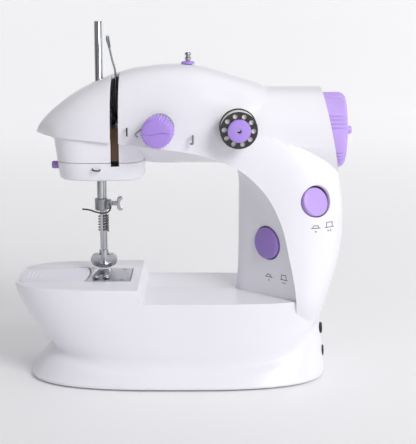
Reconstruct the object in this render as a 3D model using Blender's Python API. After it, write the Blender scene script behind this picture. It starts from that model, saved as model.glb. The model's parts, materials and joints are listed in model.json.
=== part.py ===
"""Small portable sewing machine: two moulded housings, base, needle and presser bars, drive and knobs.

Frame: +X towards the handwheel, -Y is the front, +Z up, origin under the centre of the bounding box.
Driving dimensions are in millimetres; every mesh is written in metres.
"""
import math

import bmesh
import bpy
from mathutils import Vector

MM = 0.001
GAP = 0.3                     # clearance between two pieces that touch
WALL = 2.3                    # moulded wall

# Arm and column: stations from the nose to inside the base.
# Each is (outer x, z), (panel edge x, z), (inner edge x, z), half depth.
STATIONS = [
    ((-88.2, 150.6), (-87.0, 149.8), (-84.5, 149.0), 4.0),
    ((-85.4, 156.0), (-82.0, 149.4), (-79.5, 146.5), 12.0),
    ((-76.5, 165.0), (-74.0, 148.8), (-72.5, 143.0), 20.5),
    ((-61.5, 175.6), (-60.0, 147.8), (-60.0, 139.0), 25.5),
    ((-40.3, 185.2), (-41.0, 146.2), (-41.5, 136.5), 27.2),
    ((-20.0, 189.6), (-18.5, 143.4), (-20.0, 131.2), 27.8),
    ((4.8, 190.4), (5.0, 140.4), (4.0, 131.0), 28.2),
    ((29.5, 184.2), (22.7, 135.4), (21.0, 131.0), 28.4),
    ((53.0, 176.0), (35.5, 129.3), (31.2, 129.6), 28.8),
    ((75.0, 162.0), (47.5, 118.3), (34.2, 122.0), 29.8),
    ((90.5, 141.0), (54.5, 107.8), (34.4, 110.0), 31.3),
    ((96.6, 115.0), (60.0, 94.5), (34.4, 95.0), 33.6),
    ((97.8, 92.0), (63.4, 79.0), (34.4, 79.0), 35.2),
    ((94.8, 71.0), (66.4, 64.5), (34.0, 64.0), 36.3),
    ((88.8, 51.0), (68.2, 50.5), (33.0, 50.5), 35.8),
    ((85.0, 38.0), (68.2, 38.0), (33.0, 38.0), 29.0),
]
PANEL_POWER = 2.5             # roundness of the panel between crest and edge
LIP = 3.0                     # step behind the panel edge
FIRST_INNER_STATION = 2

# Base: hull above, flared skirt below, with a saddle-shaped crease between them.
DECK_Z = 52.0                 # plateau under the arm
BED_Z = 60.5                  # raised bed at the needle
BED_RIGHT_X = -26.0           # top of the ramp down to the plateau
RAMP_RUN = 3.0
DECK_X = (-103.0, 89.5)
DECK_HALF_Y = 40.3
CREASE_X = (-81.0, 85.0)
CREASE_HALF_Y = 36.8
CREASE_Z = (20.0, 13.0, 36.0)  # left end, front and back, right end
SKIRT_X = (-94.0, 88.2)
SKIRT_HALF_Y = 47.0
FOOT_H = 1.0                  # feet stand this far below the skirt
PLAN_POWER_DECK = 3.6
PLAN_POWER_SKIRT = 2.8
HULL_CURVE = 1.35

# Underside of the base, and what lies in the bed
PLATE_Z = (1.3, 2.9)
DOOR_X = (-33.0, 19.0)
DOOR_HALF_Y = 13.6
FOOT_R = 5.0
FOOT_AT = [(-66.0, -28.0), (62.0, -28.0), (-66.0, 28.0), (62.0, 28.0)]
COVER_HALF_Y = 19.0
COVER_BOW_X = -57.8
COVER_BOW = 2.6
PLATE_HALF_Y = 17.5
PLATE_RIGHT_X = -31.8
SHEET = 1.5                   # thickness of the slide cover and the needle plate
FEED_X = (-53.3, -46.7)
FEED_HALF_Y = 6.0

# Head under the nose
HEAD_X = (-77.5, -23.0)
HEAD_HALF_Y = 24.2
HEAD_SPLIT_Z = 134.0
HEAD_TOP_Z = 150.0
CAP_BOTTOM_Z = 123.0
HEAD_POWER = 3.4
LAMP_AT = (-66.0, 2.0)
LAMP_R = 2.3
SWITCH_AT = (-77.9, -8.0, 130.8)
SWITCH_R = 2.3

# Handwheel housing, handwheel and main shaft
SHAFT_Z = 151.0
SHROUD_R = 26.3
SHROUD_BORE_R = 24.0
SHROUD_LEFT_X = 38.0         # buried in the arm
SHROUD_BORE_LEFT_X = 54.0
SHROUD_TOP_X = 83.2
SHROUD_BOTTOM_X = 94.4
WHEEL_R = 22.8
WHEEL_X = (81.5, 98.4)
SHAFT_R = 3.0
SHAFT_X = (-41.6, 98.6)
WINDER_TIP_X = 102.74
CRANK_THROW = 12.0
CRANK_X = (-44.2, -41.9)
CRANK_PIN_X = (-44.9, -43.0)  # stops short of the yoke

# Needle bar and what rides on it
NEEDLE_X = -50.0
NEEDLE_BAR_R = 2.45
NEEDLE_BAR_Z = (102.0, 216.0)
NEEDLE_TIP_Z = 71.0
CLAMP_Z = (101.5, 108.8)
SCREW_AT = (-43.3, 0.0, 105.6)
YOKE_X = (-46.6, -45.2)
PRESSER_X = -49.5
PRESSER_Y = 9.0
PRESSER_R = 2.3
PRESSER_Z = (75.0, 166.0)
FOOT_PIVOT = (-50.0, 9.0, 62.9)
LIFTER_AT = (PRESSER_X, 0.0, 141.0)

# Take-up lever, hung on the main shaft
TAKEUP_X = -39.5
TAKEUP_EXIT = (-8.0, 186.0)
TAKEUP_TIP = (-43.6, -12.6, 208.3)
SLOT_W = 4.9
SLOT_Z = (131.0, 192.0)

# Pieces on the front panel; each axis points out of the panel
TENSION_BASE = (-12.1, -28.6, 156.1)
TENSION_AXIS = (-0.121, -0.984, -0.129)
TENSION_R = 9.2
SPOOL_BASE = (32.7, -27.0, 157.2)
SPOOL_AXIS = (0.044, -0.993, -0.11)
SPOOL_R = 10.9
POWER_BASE = (78.6, -27.2, 111.3)
POWER_AXIS = (0.50, -0.80, 0.33)
SPEED_BASE = (51.8, -19.4, 85.0)
SPEED_AXIS = (-0.745, -0.667, 0.0)
POWER_R = 8.9
SPEED_R = 9.9
BUTTON_GAP = 0.5

# Spool pin on the crest
SPOOL_PIN_X = 3.6
SPOOL_PIN_TOP_Z = 197.7

# Sockets in the right end of the base
JACK_R = 3.4
JACK_Y = -9.0
POWER_JACK_Z = 29.0
PEDAL_JACK_Z = 14.5

# Drive in the base
LOWER_Z = 40.0
MOTOR_Y = 14.0
MOTOR_Z = 21.0
MOTOR_R = 11.0
MOTOR_X = (25.0, 56.0)
DRIVE_BELT_X = (66.6, 69.4)
TIMING_BELT_X = (57.2, 62.8)
TIMING_R = 8.6
SHAFT_PULLEY_R = 13.0
MOTOR_PULLEY_R = 3.6
HOOK_X = (-66.0, -53.6)
HOOK_R = 14.0
BOBBIN_R = 10.3


# ---------------------------------------------------------------- scene and materials
def clear_scene():
    for item in list(bpy.data.objects):
        bpy.data.objects.remove(item, do_unlink=True)


def make_material(name, colour, roughness, metallic=0.0):
    material = bpy.data.materials.new(name)
    material.use_nodes = True
    shader = material.node_tree.nodes["Principled BSDF"]
    shader.inputs["Base Color"].default_value = (*colour, 1.0)
    shader.inputs["Roughness"].default_value = roughness
    shader.inputs["Metallic"].default_value = metallic
    return material


def make_materials():
    return {
        "white": make_material("white_abs", (0.82, 0.81, 0.86), 0.28),
        "lavender": make_material("lavender_abs", (0.45, 0.32, 0.85), 0.35),
        "violet": make_material("violet_abs", (0.22, 0.14, 0.46), 0.4),
        "chrome": make_material("chrome", (0.72, 0.72, 0.74), 0.15, 1.0),
        "steel": make_material("steel", (0.5, 0.5, 0.52), 0.35, 1.0),
        "dark": make_material("dark_steel", (0.06, 0.055, 0.06), 0.3, 1.0),
        "brass": make_material("brass", (0.6, 0.45, 0.18), 0.3, 1.0),
        "brown": make_material("brown_fibre", (0.12, 0.07, 0.035), 0.5),
        "black": make_material("black_plastic", (0.02, 0.02, 0.022), 0.45),
        "rubber": make_material("rubber", (0.03, 0.03, 0.03), 0.8),
        "lens": make_material("lamp_lens", (0.9, 0.9, 0.82), 0.1),
        "nylon": make_material("nylon", (0.8, 0.79, 0.74), 0.45),
    }


# ---------------------------------------------------------------- mesh helpers (millimetres in, metres out)
def place(name, verts, faces, material=None, origin=(0.0, 0.0, 0.0), parent=None):
    """A closed mesh from world millimetres, with its origin where it turns or slides."""
    mesh = bpy.data.meshes.new(name)
    base = Vector(origin)
    mesh.from_pydata([(Vector(v) - base) * MM for v in verts], [], faces)
    shape = bmesh.new()
    shape.from_mesh(mesh)
    bmesh.ops.triangulate(shape, faces=[f for f in shape.faces if len(f.verts) == 4])
    bmesh.ops.recalc_face_normals(shape, faces=shape.faces)
    shape.to_mesh(mesh)
    shape.free()
    mesh.shade_smooth()
    mesh.set_sharp_from_angle(angle=math.radians(35))
    piece = bpy.data.objects.new(name, mesh)
    bpy.context.collection.objects.link(piece)
    if material is not None:
        mesh.materials.append(material)
    piece.location = base * MM
    if parent is not None:
        piece.parent = parent
        piece.location = base * MM - parent.location
    return piece


def body(name, at):
    """An empty on a joint's axis that carries the pieces of one moving body."""
    empty = bpy.data.objects.new(name, None)
    bpy.context.collection.objects.link(empty)
    empty.empty_display_size = 0.01
    empty.location = Vector(at) * MM
    return empty


def hide(cutter):
    cutter.hide_render = True
    cutter.display_type = 'WIRE'
    return cutter


def boolean(target, other, operation):
    modifier = target.modifiers.new(operation.lower(), 'BOOLEAN')
    modifier.operation = operation
    modifier.solver = 'EXACT'
    modifier.object = other
    return target


def stack(rings, close_ends=True):
    """Join rings of equal length into one skin, with a face across each end."""
    count = len(rings[0])
    verts = [point for ring in rings for point in ring]
    faces = []
    for row in range(len(rings) - 1):
        for i in range(count):
            j = (i + 1) % count
            faces.append((row * count + i, row * count + j, (row + 1) * count + j, (row + 1) * count + i))
    if close_ends:
        faces.append(tuple(range(count)))
        last = (len(rings) - 1) * count
        faces.append(tuple(last + i for i in range(count)))
    return verts, faces


def wrap(rings):
    """Join rings of equal length and close the last onto the first, which leaves a bore."""
    verts, faces = stack(rings + rings[:1], close_ends=False)
    keep = len(verts) - len(rings[0])
    return verts[:keep], [tuple(i % keep for i in face) for face in faces]


def turned(profile, at, axis, sides=24, closed=False, ribs=0.0):
    """Turn (radius, distance along axis) points; a closed profile makes a ring with a bore."""
    direction = Vector(axis).normalized()
    spin = Vector((0, 0, 1)).rotation_difference(direction).to_matrix()
    centre = Vector(at)
    widest = max(radius for radius, _ in profile)
    rings = []
    for radius, along_axis in profile:
        ring = []
        groove = ribs if radius > 0.9 * widest else 0.0
        for i in range(sides):
            angle = 2 * math.pi * i / sides
            reach = radius - groove * (i % 2)
            flat = Vector((reach * math.cos(angle), reach * math.sin(angle), along_axis))
            ring.append(centre + spin @ flat)
        rings.append(ring)
    return wrap(rings) if closed else stack(rings)


def tube(inner, outer, start, end):
    """Profile of a plain ring for turned(closed=True)."""
    return [(inner, start), (outer, start), (outer, end), (inner, end)]


def block(x, y, z):
    """A box from (low, high) pairs."""
    rings = [[(x[0], y[0], level), (x[1], y[0], level), (x[1], y[1], level), (x[0], y[1], level)]
             for level in z]
    return stack(rings)


def slab(outline, low, high, axis="z"):
    """Extrude a flat outline along one axis."""
    spot = {"x": (2, 0, 1), "y": (0, 2, 1), "z": (0, 1, 2)}[axis]
    return stack([[tuple((a, b, level)[k] for k in spot) for a, b in outline] for level in (low, high)])


def wire(path, radius, sides=8):
    """A round wire along a path."""
    points = [Vector(p) for p in path]
    up = None
    rings = []
    for i, point in enumerate(points):
        ahead = points[min(i + 1, len(points) - 1)] - points[max(i - 1, 0)]
        ahead.normalize()
        if up is None:
            up = ahead.orthogonal().normalized()
        up = (up - ahead * up.dot(ahead)).normalized()
        side = ahead.cross(up)
        rings.append([point + up * radius * math.cos(2 * math.pi * k / sides)
                      + side * radius * math.sin(2 * math.pi * k / sides) for k in range(sides)])
    return stack(rings)


def smooth_path(points, steps):
    """Catmull-Rom points through a hand-chosen route."""
    route = [Vector(p) for p in points]
    route = [2 * route[0] - route[1]] + route + [2 * route[-1] - route[-2]]
    result = []
    for i in range(1, len(route) - 2):
        a, b, c, d = route[i - 1:i + 3]
        for step in range(steps):
            t = step / steps
            result.append(0.5 * ((2 * b) + (c - a) * t + (2 * a - 5 * b + 4 * c - d) * t ** 2
                                 + (3 * b - a - 3 * c + d) * t ** 3))
    result.append(route[-2])
    return result


def merge(*parts):
    """Put closed shapes that stay apart into one cutter."""
    verts, faces = [], []
    for more_verts, more_faces in parts:
        base = len(verts)
        verts += list(more_verts)
        faces += [tuple(base + i for i in face) for face in more_faces]
    return verts, faces


# ---------------------------------------------------------------- housings
def superellipse(angle, left, right, half_y, power):
    """Plan point of a rounded outline whose two ends have their own reach."""
    c, s = math.cos(angle), math.sin(angle)
    middle = 0.5 * (left + right)
    reach = 0.5 * (right - left)
    x = middle + reach * math.copysign(abs(c) ** (2 / power), c)
    y = half_y * math.copysign(abs(s) ** (2 / power), s)
    return x, y


def station_rows(inset):
    """Smooth the stations and pull them in by a wall thickness."""
    first = FIRST_INNER_STATION if inset else 0
    chosen = STATIONS[first:]
    flat = [Vector((*o, 0)) for o, _, _, _ in chosen]
    edge = [Vector((*e, 0)) for _, e, _, _ in chosen]
    inner = [Vector((*t, 0)) for _, _, t, _ in chosen]
    depth = [Vector((h, 0, 0)) for _, _, _, h in chosen]
    steps = 2 if not inset else 1
    rows = []
    for o, e, t, h in zip(*(smooth_path(line, steps) for line in (flat, edge, inner, depth))):
        across = (o - e).normalized()
        under = (e - t).normalized()
        rows.append((o - across * inset, e + across * inset * 0.6, t + under * inset * 1.25,
                     h.x - inset, LIP + inset * 0.35))
    return rows


def arm_section(row):
    """Ring through one station: crest, crowned panel, edge step, sloping underside; front then back."""
    outer, edge, inner, depth, lip = row
    steps = 7
    half = []
    for k in range(steps + 1):
        angle = math.pi / 2 * k / steps
        reach = math.cos(angle) ** (2 / PANEL_POWER) if k < steps else 0.0
        out = math.sin(angle) ** (2 / PANEL_POWER) if k else 0.0
        point = edge.lerp(outer, reach)
        half.append((point.x, -depth * out, point.y))
    back = max(depth - lip, 0.5)
    half.append((edge.x, -back, edge.y))
    for share, fall in ((0.5, 0.52), (0.9, 0.16)):
        point = edge.lerp(inner, share)
        half.append((point.x, -back * fall, point.y))
    half.append((inner.x, 0.0, inner.y))
    mirrored = [(x, -y, z) for x, y, z in reversed(half[1:-1])]
    return half + mirrored


def arm_column(inset):
    """Skin of the arm and column; a fan closes the nose, whose ring isn't flat."""
    rings = [arm_section(row) for row in station_rows(inset)]
    verts, faces = stack(rings, close_ends=False)
    count = len(rings[0])
    faces += [(i, (i + 1) % count, len(verts)) for i in range(count)]
    faces.append(tuple(range(len(verts) - count, len(verts))))
    verts.append(sum((Vector(p) for p in rings[0]), Vector()) / count)
    return verts, faces


def crease_height(angle):
    """Height of the crease round the base: low in front, higher at both ends."""
    left, front, right = CREASE_Z
    end = right if math.cos(angle) > 0 else left
    return front + (end - front) * abs(math.cos(angle)) ** 3.0


def base_ring(level, part, inset, sides=44):
    """One ring of the base: 'skirt' runs up to the crease, 'hull' from the crease to the top."""
    ring = []
    for i in range(sides):
        angle = 2 * math.pi * i / sides
        crease = superellipse(angle, CREASE_X[0] + inset, CREASE_X[1] - inset, CREASE_HALF_Y - inset,
                              PLAN_POWER_SKIRT)
        crease_z = crease_height(angle)
        if part == "skirt":
            end = superellipse(angle, SKIRT_X[0] + inset, SKIRT_X[1] - inset, SKIRT_HALF_Y - inset,
                               PLAN_POWER_SKIRT)
            end_z, share = FOOT_H + 1.5, 1 - level
        else:
            end = superellipse(angle, DECK_X[0] + inset, DECK_X[1] - inset, DECK_HALF_Y - inset,
                               PLAN_POWER_DECK)
            end_z, share = BED_Z - 1.0, 1 - (1 - level) ** HULL_CURVE
        height = crease_z + (end_z - crease_z) * (level if part == "hull" else share)
        ring.append((crease[0] + (end[0] - crease[0]) * share, crease[1] + (end[1] - crease[1]) * share,
                     height))
    return ring


def scaled_ring(ring, amount, height):
    """The same outline pulled in by an amount and laid flat at a height."""
    result = []
    for x, y, _ in ring:
        length = math.hypot(x, y)
        result.append((x * (1 - amount / length), y * (1 - amount / length), height))
    return result


def base_outer():
    bottom = base_ring(0.0, "skirt", 0.0)
    rings = [scaled_ring(bottom, 1.2, FOOT_H), bottom]
    rings += [base_ring(level, "skirt", 0.0) for level in (0.5, 1.0)]
    rings += [base_ring(level, "hull", 0.0) for level in (0.2, 0.4, 0.6, 0.8, 1.0)]
    rings.append(scaled_ring(rings[-1], 1.0, BED_Z))
    return stack(rings)


def base_inner():
    """Hollow of the base, up to just under the plateau and open below."""
    top_share = (DECK_Z - WALL - CREASE_Z[1]) / (BED_Z - 1.0 - CREASE_Z[1])
    bottom = base_ring(0.0, "skirt", WALL)
    rings = [[(x, y, FOOT_H - 2.0) for x, y, _ in bottom], bottom]
    rings += [base_ring(level, "skirt", WALL) for level in (0.5, 1.0)]
    rings += [base_ring(level * top_share, "hull", WALL) for level in (0.33, 0.66)]
    last = base_ring(top_share, "hull", WALL)
    rings.append([(x, y, DECK_Z - WALL) for x, y, _ in last])
    return stack(rings)


def rounded_plan(left, right, half_y, power, sides=32):
    return [superellipse(2 * math.pi * i / sides, left, right, half_y, power) for i in range(sides)]


def head_block(inset, low, high, slant=3.6):
    """Body of the head under the nose; its left side leans in towards the bottom."""
    rings = []
    for level in (low, high):
        lean = slant * (HEAD_TOP_Z - level) / (HEAD_TOP_Z - CAP_BOTTOM_Z)
        plan = rounded_plan(HEAD_X[0] + lean + inset, HEAD_X[1] - inset, HEAD_HALF_Y - inset, HEAD_POWER)
        rings.append([(x, y, level) for x, y in plan])
    return stack(rings)


def shroud(radius, left, shift):
    """Round housing of the handwheel, cut on a slant at its open end."""
    sides = 36
    ends = []
    slope = (SHROUD_BOTTOM_X - SHROUD_TOP_X) / (2 * SHROUD_R)
    for is_open in (False, True):
        ring = []
        for i in range(sides):
            angle = 2 * math.pi * i / sides
            y, z = radius * math.sin(angle), radius * math.cos(angle)
            x = SHROUD_TOP_X + (SHROUD_R - z) * slope + shift if is_open else left
            ring.append((x, y, SHAFT_Z + z))
        ends.append(ring)
    return stack(ends)


def plateau_cut():
    """Space above the plateau, with the ramp up to the raised bed."""
    outline = [(BED_RIGHT_X, BED_Z + 5), (BED_RIGHT_X, BED_Z), (BED_RIGHT_X + RAMP_RUN, DECK_Z),
               (120, DECK_Z), (120, BED_Z + 5)]
    return slab(outline, -60, 60, axis="y")


def cover_outline(margin):
    """Plan of the bobbin slide cover: round at the bed's end, bowed where it meets the needle plate."""
    half = COVER_HALF_Y + margin
    outline = []
    for k in range(9):
        y = -half + 2 * half * k / 8
        outline.append((cover_bow(y) + margin, y))
    for k in range(13):
        y = half - 2 * half * k / 12
        share = (1 - (abs(y) / DECK_HALF_Y) ** PLAN_POWER_DECK) ** (1 / PLAN_POWER_DECK)
        middle = 0.5 * (DECK_X[0] + DECK_X[1])
        outline.append((middle - (middle - DECK_X[0] - 1.6) * share - margin * 6, y))
    return outline


def cover_bow(y):
    return COVER_BOW_X - COVER_BOW * (y / COVER_HALF_Y) ** 2


def plate_outline(margin):
    """Plan of the needle plate, hollowed where the slide cover meets it."""
    half = PLATE_HALF_Y + margin
    outline = [(PLATE_RIGHT_X + margin, -half), (PLATE_RIGHT_X + margin, half)]
    for k in range(9):
        y = half - 2 * half * k / 8
        outline.append((cover_bow(y) + GAP - margin, y))
    return outline


def shell_outer():
    """Outside of both housings as one solid."""
    arm = hide(place("shape_arm", *arm_column(0.0)))
    hull = hide(place("shape_hull", *base_outer()))
    boolean(hull, hide(place("shape_plateau", *plateau_cut())), 'DIFFERENCE')
    boolean(arm, hide(place("shape_shroud", *shroud(SHROUD_R, SHROUD_LEFT_X, 0.0))), 'UNION')
    boolean(arm, hide(place("shape_head", *head_block(0.0, HEAD_SPLIT_Z, HEAD_TOP_Z))), 'UNION')
    boolean(arm, hull, 'UNION')
    return arm


def hollows():
    """Spaces inside the housings: arm and column, handwheel housing, head, base and raised bed."""
    bore = shroud(SHROUD_BORE_R, SHROUD_BORE_LEFT_X, 4.0)
    head = head_block(WALL, HEAD_SPLIT_Z - 4, HEAD_TOP_Z - 1)
    bed = slab(rounded_plan(-91.0, -30.0, 33.0, 4.0), DECK_Z - WALL - 1, BED_Z - 3.5)
    return [arm_column(WALL), bore, head, base_inner(), bed]


def front_cutters():
    """Openings in the front housing."""
    slot = block((TAKEUP_X - SLOT_W / 2, TAKEUP_X + SLOT_W / 2), (-40, -3.6), SLOT_Z)
    post = turned([(2.3, -10), (2.3, 10)], TENSION_BASE, TENSION_AXIS, 16)
    spindle = turned([(2.3, -10), (2.3, 10)], SPOOL_BASE, SPOOL_AXIS, 16)
    power = turned([(POWER_R + BUTTON_GAP, -7), (POWER_R + BUTTON_GAP, 12)], POWER_BASE, POWER_AXIS, 32)
    speed = turned([(SPEED_R + BUTTON_GAP, -6), (SPEED_R + BUTTON_GAP, 9)], SPEED_BASE, SPEED_AXIS, 32)
    return [slot, post, spindle, power, speed]


def shared_cutters():
    """Openings on the parting plane and through the bed, cut in both housings."""
    needle = turned([(NEEDLE_BAR_R + GAP, 160), (NEEDLE_BAR_R + GAP, 200)], (NEEDLE_X, 0, 0), (0, 0, 1), 20)
    pin = turned([(2.6, 180), (2.6, 200)], (SPOOL_PIN_X, 0, 0), (0, 0, 1), 16)
    shuttle = block((-92.0, -61.5), (-15.0, 15.0), (50.0, 70.0))
    cover = slab(cover_outline(GAP), BED_Z - SHEET - GAP, BED_Z + 5)
    plate = slab(plate_outline(GAP), BED_Z - SHEET - GAP, BED_Z + 5)
    feed = block((-56.5, -35.0), (-13.0, 13.0), (50.0, 70.0))
    jacks = [turned([(JACK_R + GAP, -8), (JACK_R + GAP, 8)], (88.0, JACK_Y, z), (1, 0, 0), 20)
             for z in (POWER_JACK_Z, PEDAL_JACK_Z)]
    cap = head_block(-GAP, CAP_BOTTOM_Z - 5, HEAD_SPLIT_Z)
    return [needle, pin, shuttle, cover, plate, feed, cap] + jacks


def rear_cutters():
    """Openings in the rear housing."""
    lifter = turned([(2.8, 15), (2.8, 35)], (PRESSER_X, 0, 141.0), (0, 1, 0), 16)
    return [lifter]


def housings(paint):
    outer = shell_outer()
    shared = [hide(place("open_%d" % i, *shape)) for i, shape in enumerate(hollows() + shared_cutters())]
    for name, near, far, cutters in (("front_housing", -70.0, -GAP / 2, front_cutters()),
                                     ("rear_housing", GAP / 2, 70.0, rear_cutters())):
        shell = place(name, *block((-130, 130), (near, far), (-10, 230)), paint["white"])
        boolean(shell, outer, 'INTERSECT')
        for cutter in shared:
            boolean(shell, cutter, 'DIFFERENCE')
        for i, shape in enumerate(cutters):
            boolean(shell, hide(place("%s_open_%d" % (name, i), *shape)), 'DIFFERENCE')


# ---------------------------------------------------------------- base
def base_plate(paint):
    inset = WALL + 1.0
    sides = 44
    plan = [superellipse(2 * math.pi * i / sides, SKIRT_X[0] + inset, SKIRT_X[1] - inset,
                         SKIRT_HALF_Y - inset, PLAN_POWER_SKIRT) for i in range(sides)]
    plate = place("base_plate", *slab(plan, *PLATE_Z), paint["white"])
    edge = GAP + 0.1
    door = block((DOOR_X[0] - edge, DOOR_X[1] + edge), (-DOOR_HALF_Y - edge, DOOR_HALF_Y + edge), (-5, 10))
    boolean(plate, hide(place("plate_open_door", *door)), 'DIFFERENCE')
    for i, (x, y) in enumerate(FOOT_AT):
        hole = turned([(FOOT_R + GAP, -5), (FOOT_R + GAP, 10)], (x, y, 0), (0, 0, 1), 20)
        boolean(plate, hide(place("plate_open_%d" % i, *hole)), 'DIFFERENCE')
    top = PLATE_Z[1] - 0.5
    ribs = [
        block((30.0, 32.5), (3.5, 24.5), (top, 15.0)),
        block((49.0, 51.5), (3.5, 24.5), (top, 15.0)),
        block((-47.0, -43.0), (-5.5, 5.5), (top, LOWER_Z + 6)),
        block((50.0, 54.0), (-5.5, 3.0), (top, LOWER_Z + 6)),
        block((-71.5, -67.2), (-4.0, 4.0), (top, LOWER_Z - 4)),
    ]
    for i, shape in enumerate(ribs):
        boolean(plate, hide(place("plate_rib_%d" % i, *shape)), 'UNION')
    shaft = turned([(3.0 + GAP, -60), (3.0 + GAP, 60)], (0, 0, LOWER_Z), (1, 0, 0), 20)
    cradle = turned([(MOTOR_R + GAP, 20), (MOTOR_R + GAP, 60)], (0, MOTOR_Y, MOTOR_Z), (1, 0, 0), 28)
    boolean(plate, hide(place("plate_shaft_bore", *shaft)), 'DIFFERENCE')
    boolean(plate, hide(place("plate_cradle", *cradle)), 'DIFFERENCE')


def battery_door(paint):
    hinge = body("battery_door_hinge", (0, DOOR_HALF_Y + 0.2, PLATE_Z[0]))
    shape = block(DOOR_X, (-DOOR_HALF_Y, DOOR_HALF_Y), PLATE_Z)
    place("battery_door", *shape, paint["white"], hinge.location / MM, hinge)


def battery_box(paint):
    """Tray for the cells, open towards the door."""
    x = (DOOR_X[0] - 2.5, DOOR_X[1] + 2.5)
    y = DOOR_HALF_Y + 2.9
    box = place("battery_box", *block(x, (-y, y), (PLATE_Z[1] + GAP, 19.5)), paint["black"])
    room = block((x[0] + 1.6, x[1] - 1.6), (-y + 1.6, y - 1.6), (-2, 18.0))
    boolean(box, hide(place("battery_room", *room)), 'DIFFERENCE')


def feet(paint):
    profile = [(FOOT_R - 0.4, 0.0), (FOOT_R, 0.4), (FOOT_R, PLATE_Z[1])]
    for name, (x, y) in zip(("foot_front_left", "foot_front_right", "foot_rear_left", "foot_rear_right"),
                            FOOT_AT):
        place(name, *turned(profile, (x, y, 0), (0, 0, 1), 20), paint["rubber"])


def slide_cover(paint):
    slide = body("slide_cover_slide", (-80, 0, BED_Z))
    place("slide_cover", *slab(cover_outline(0.0), BED_Z - SHEET, BED_Z), paint["white"],
          slide.location / MM, slide)


def needle_plate(paint):
    plate = place("needle_plate", *slab(plate_outline(0.0), BED_Z - SHEET, BED_Z), paint["chrome"])
    hole = turned([(1.1, 50), (1.1, 70)], (NEEDLE_X, 0, 0), (0, 0, 1), 12)
    cuts = [hole]
    for x in FEED_X:
        cuts.append(block((x - 1.2, x + 1.2), (-8.2, 8.2), (50, 70)))
    for i, shape in enumerate(cuts):
        boolean(plate, hide(place("needle_plate_open_%d" % i, *shape)), 'DIFFERENCE')


def feed_dog(paint):
    """Two toothed ribs joined behind the needle."""
    slide = body("feed_slide", (NEEDLE_X, 0, BED_Z))
    bar = block((FEED_X[0] - 0.8, FEED_X[1] + 0.8), (4.0, 6.4), (55.2, 58.0))
    dog = place("feed_dog", *bar, paint["steel"], slide.location / MM, slide)
    for i, x in enumerate(FEED_X):
        teeth = [(k - FEED_HALF_Y, BED_Z - (0.2 if k % 2 else 0.9)) for k in range(13)]
        outline = [(-FEED_HALF_Y, 55.4)] + teeth + [(FEED_HALF_Y, 55.4)]
        rib = slab(outline, x - 0.75, x + 0.75, axis="x")
        boolean(dog, hide(place("feed_rib_%d" % i, *rib)), 'UNION')


# ---------------------------------------------------------------- head
def head_cap(paint):
    """Cup that closes the head from below."""
    cap = place("head_cap", *head_block(0.0, CAP_BOTTOM_Z, HEAD_SPLIT_Z - GAP), paint["white"])
    cuts = [
        head_block(WALL, CAP_BOTTOM_Z + WALL, HEAD_SPLIT_Z + 6),
        turned([(NEEDLE_BAR_R + GAP, 110), (NEEDLE_BAR_R + GAP, 130)], (NEEDLE_X, 0, 0), (0, 0, 1), 20),
        turned([(PRESSER_R + GAP, 110), (PRESSER_R + GAP, 130)], (PRESSER_X, PRESSER_Y, 0), (0, 0, 1), 20),
        turned([(LAMP_R + GAP, 110), (LAMP_R + GAP, 130)], (*LAMP_AT, 0), (0, 0, 1), 16),
        turned([(SWITCH_R + 0.4, -6), (SWITCH_R + 0.4, 8)], SWITCH_AT, (1, 0, 0), 16),
        block((TAKEUP_X - SLOT_W / 2, TAKEUP_X + SLOT_W / 2), (-40, -15), (SLOT_Z[0] + 0.8, 150)),
    ]
    for i, shape in enumerate(cuts):
        boolean(cap, hide(place("head_cap_open_%d" % i, *shape)), 'DIFFERENCE')


def head_trim(paint):
    strip = block((TAKEUP_X - 3.6, TAKEUP_X + 3.6), (-20.4, -19.4), (134.6, 154.0))
    place("slot_plate", *strip, paint["brown"])
    dome = [(LAMP_R, 0.0), (LAMP_R, 5.0), (LAMP_R - 0.6, 6.2), (0.8, 6.8)]
    place("lamp", *turned(dome, (*LAMP_AT, 128.6), (0, 0, -1), 16), paint["lens"])
    eyelet = [(-52.6, -24.9, 130.6), (-52.3, -26.4, 130.2), (-50.4, -26.9, 129.9), (-48.5, -26.4, 129.9),
              (-48.2, -24.9, 130.1)]
    place("head_guide", *wire(smooth_path(eyelet, 3), 0.5, 6), paint["dark"])


def light_switch(paint):
    slide = body("light_switch_slide", SWITCH_AT)
    profile = [(SWITCH_R - 0.4, -0.6), (SWITCH_R, 0.0), (SWITCH_R, 6.5)]
    place("light_switch", *turned(profile, SWITCH_AT, (1, 0, 0), 16), paint["violet"], SWITCH_AT, slide)


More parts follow.
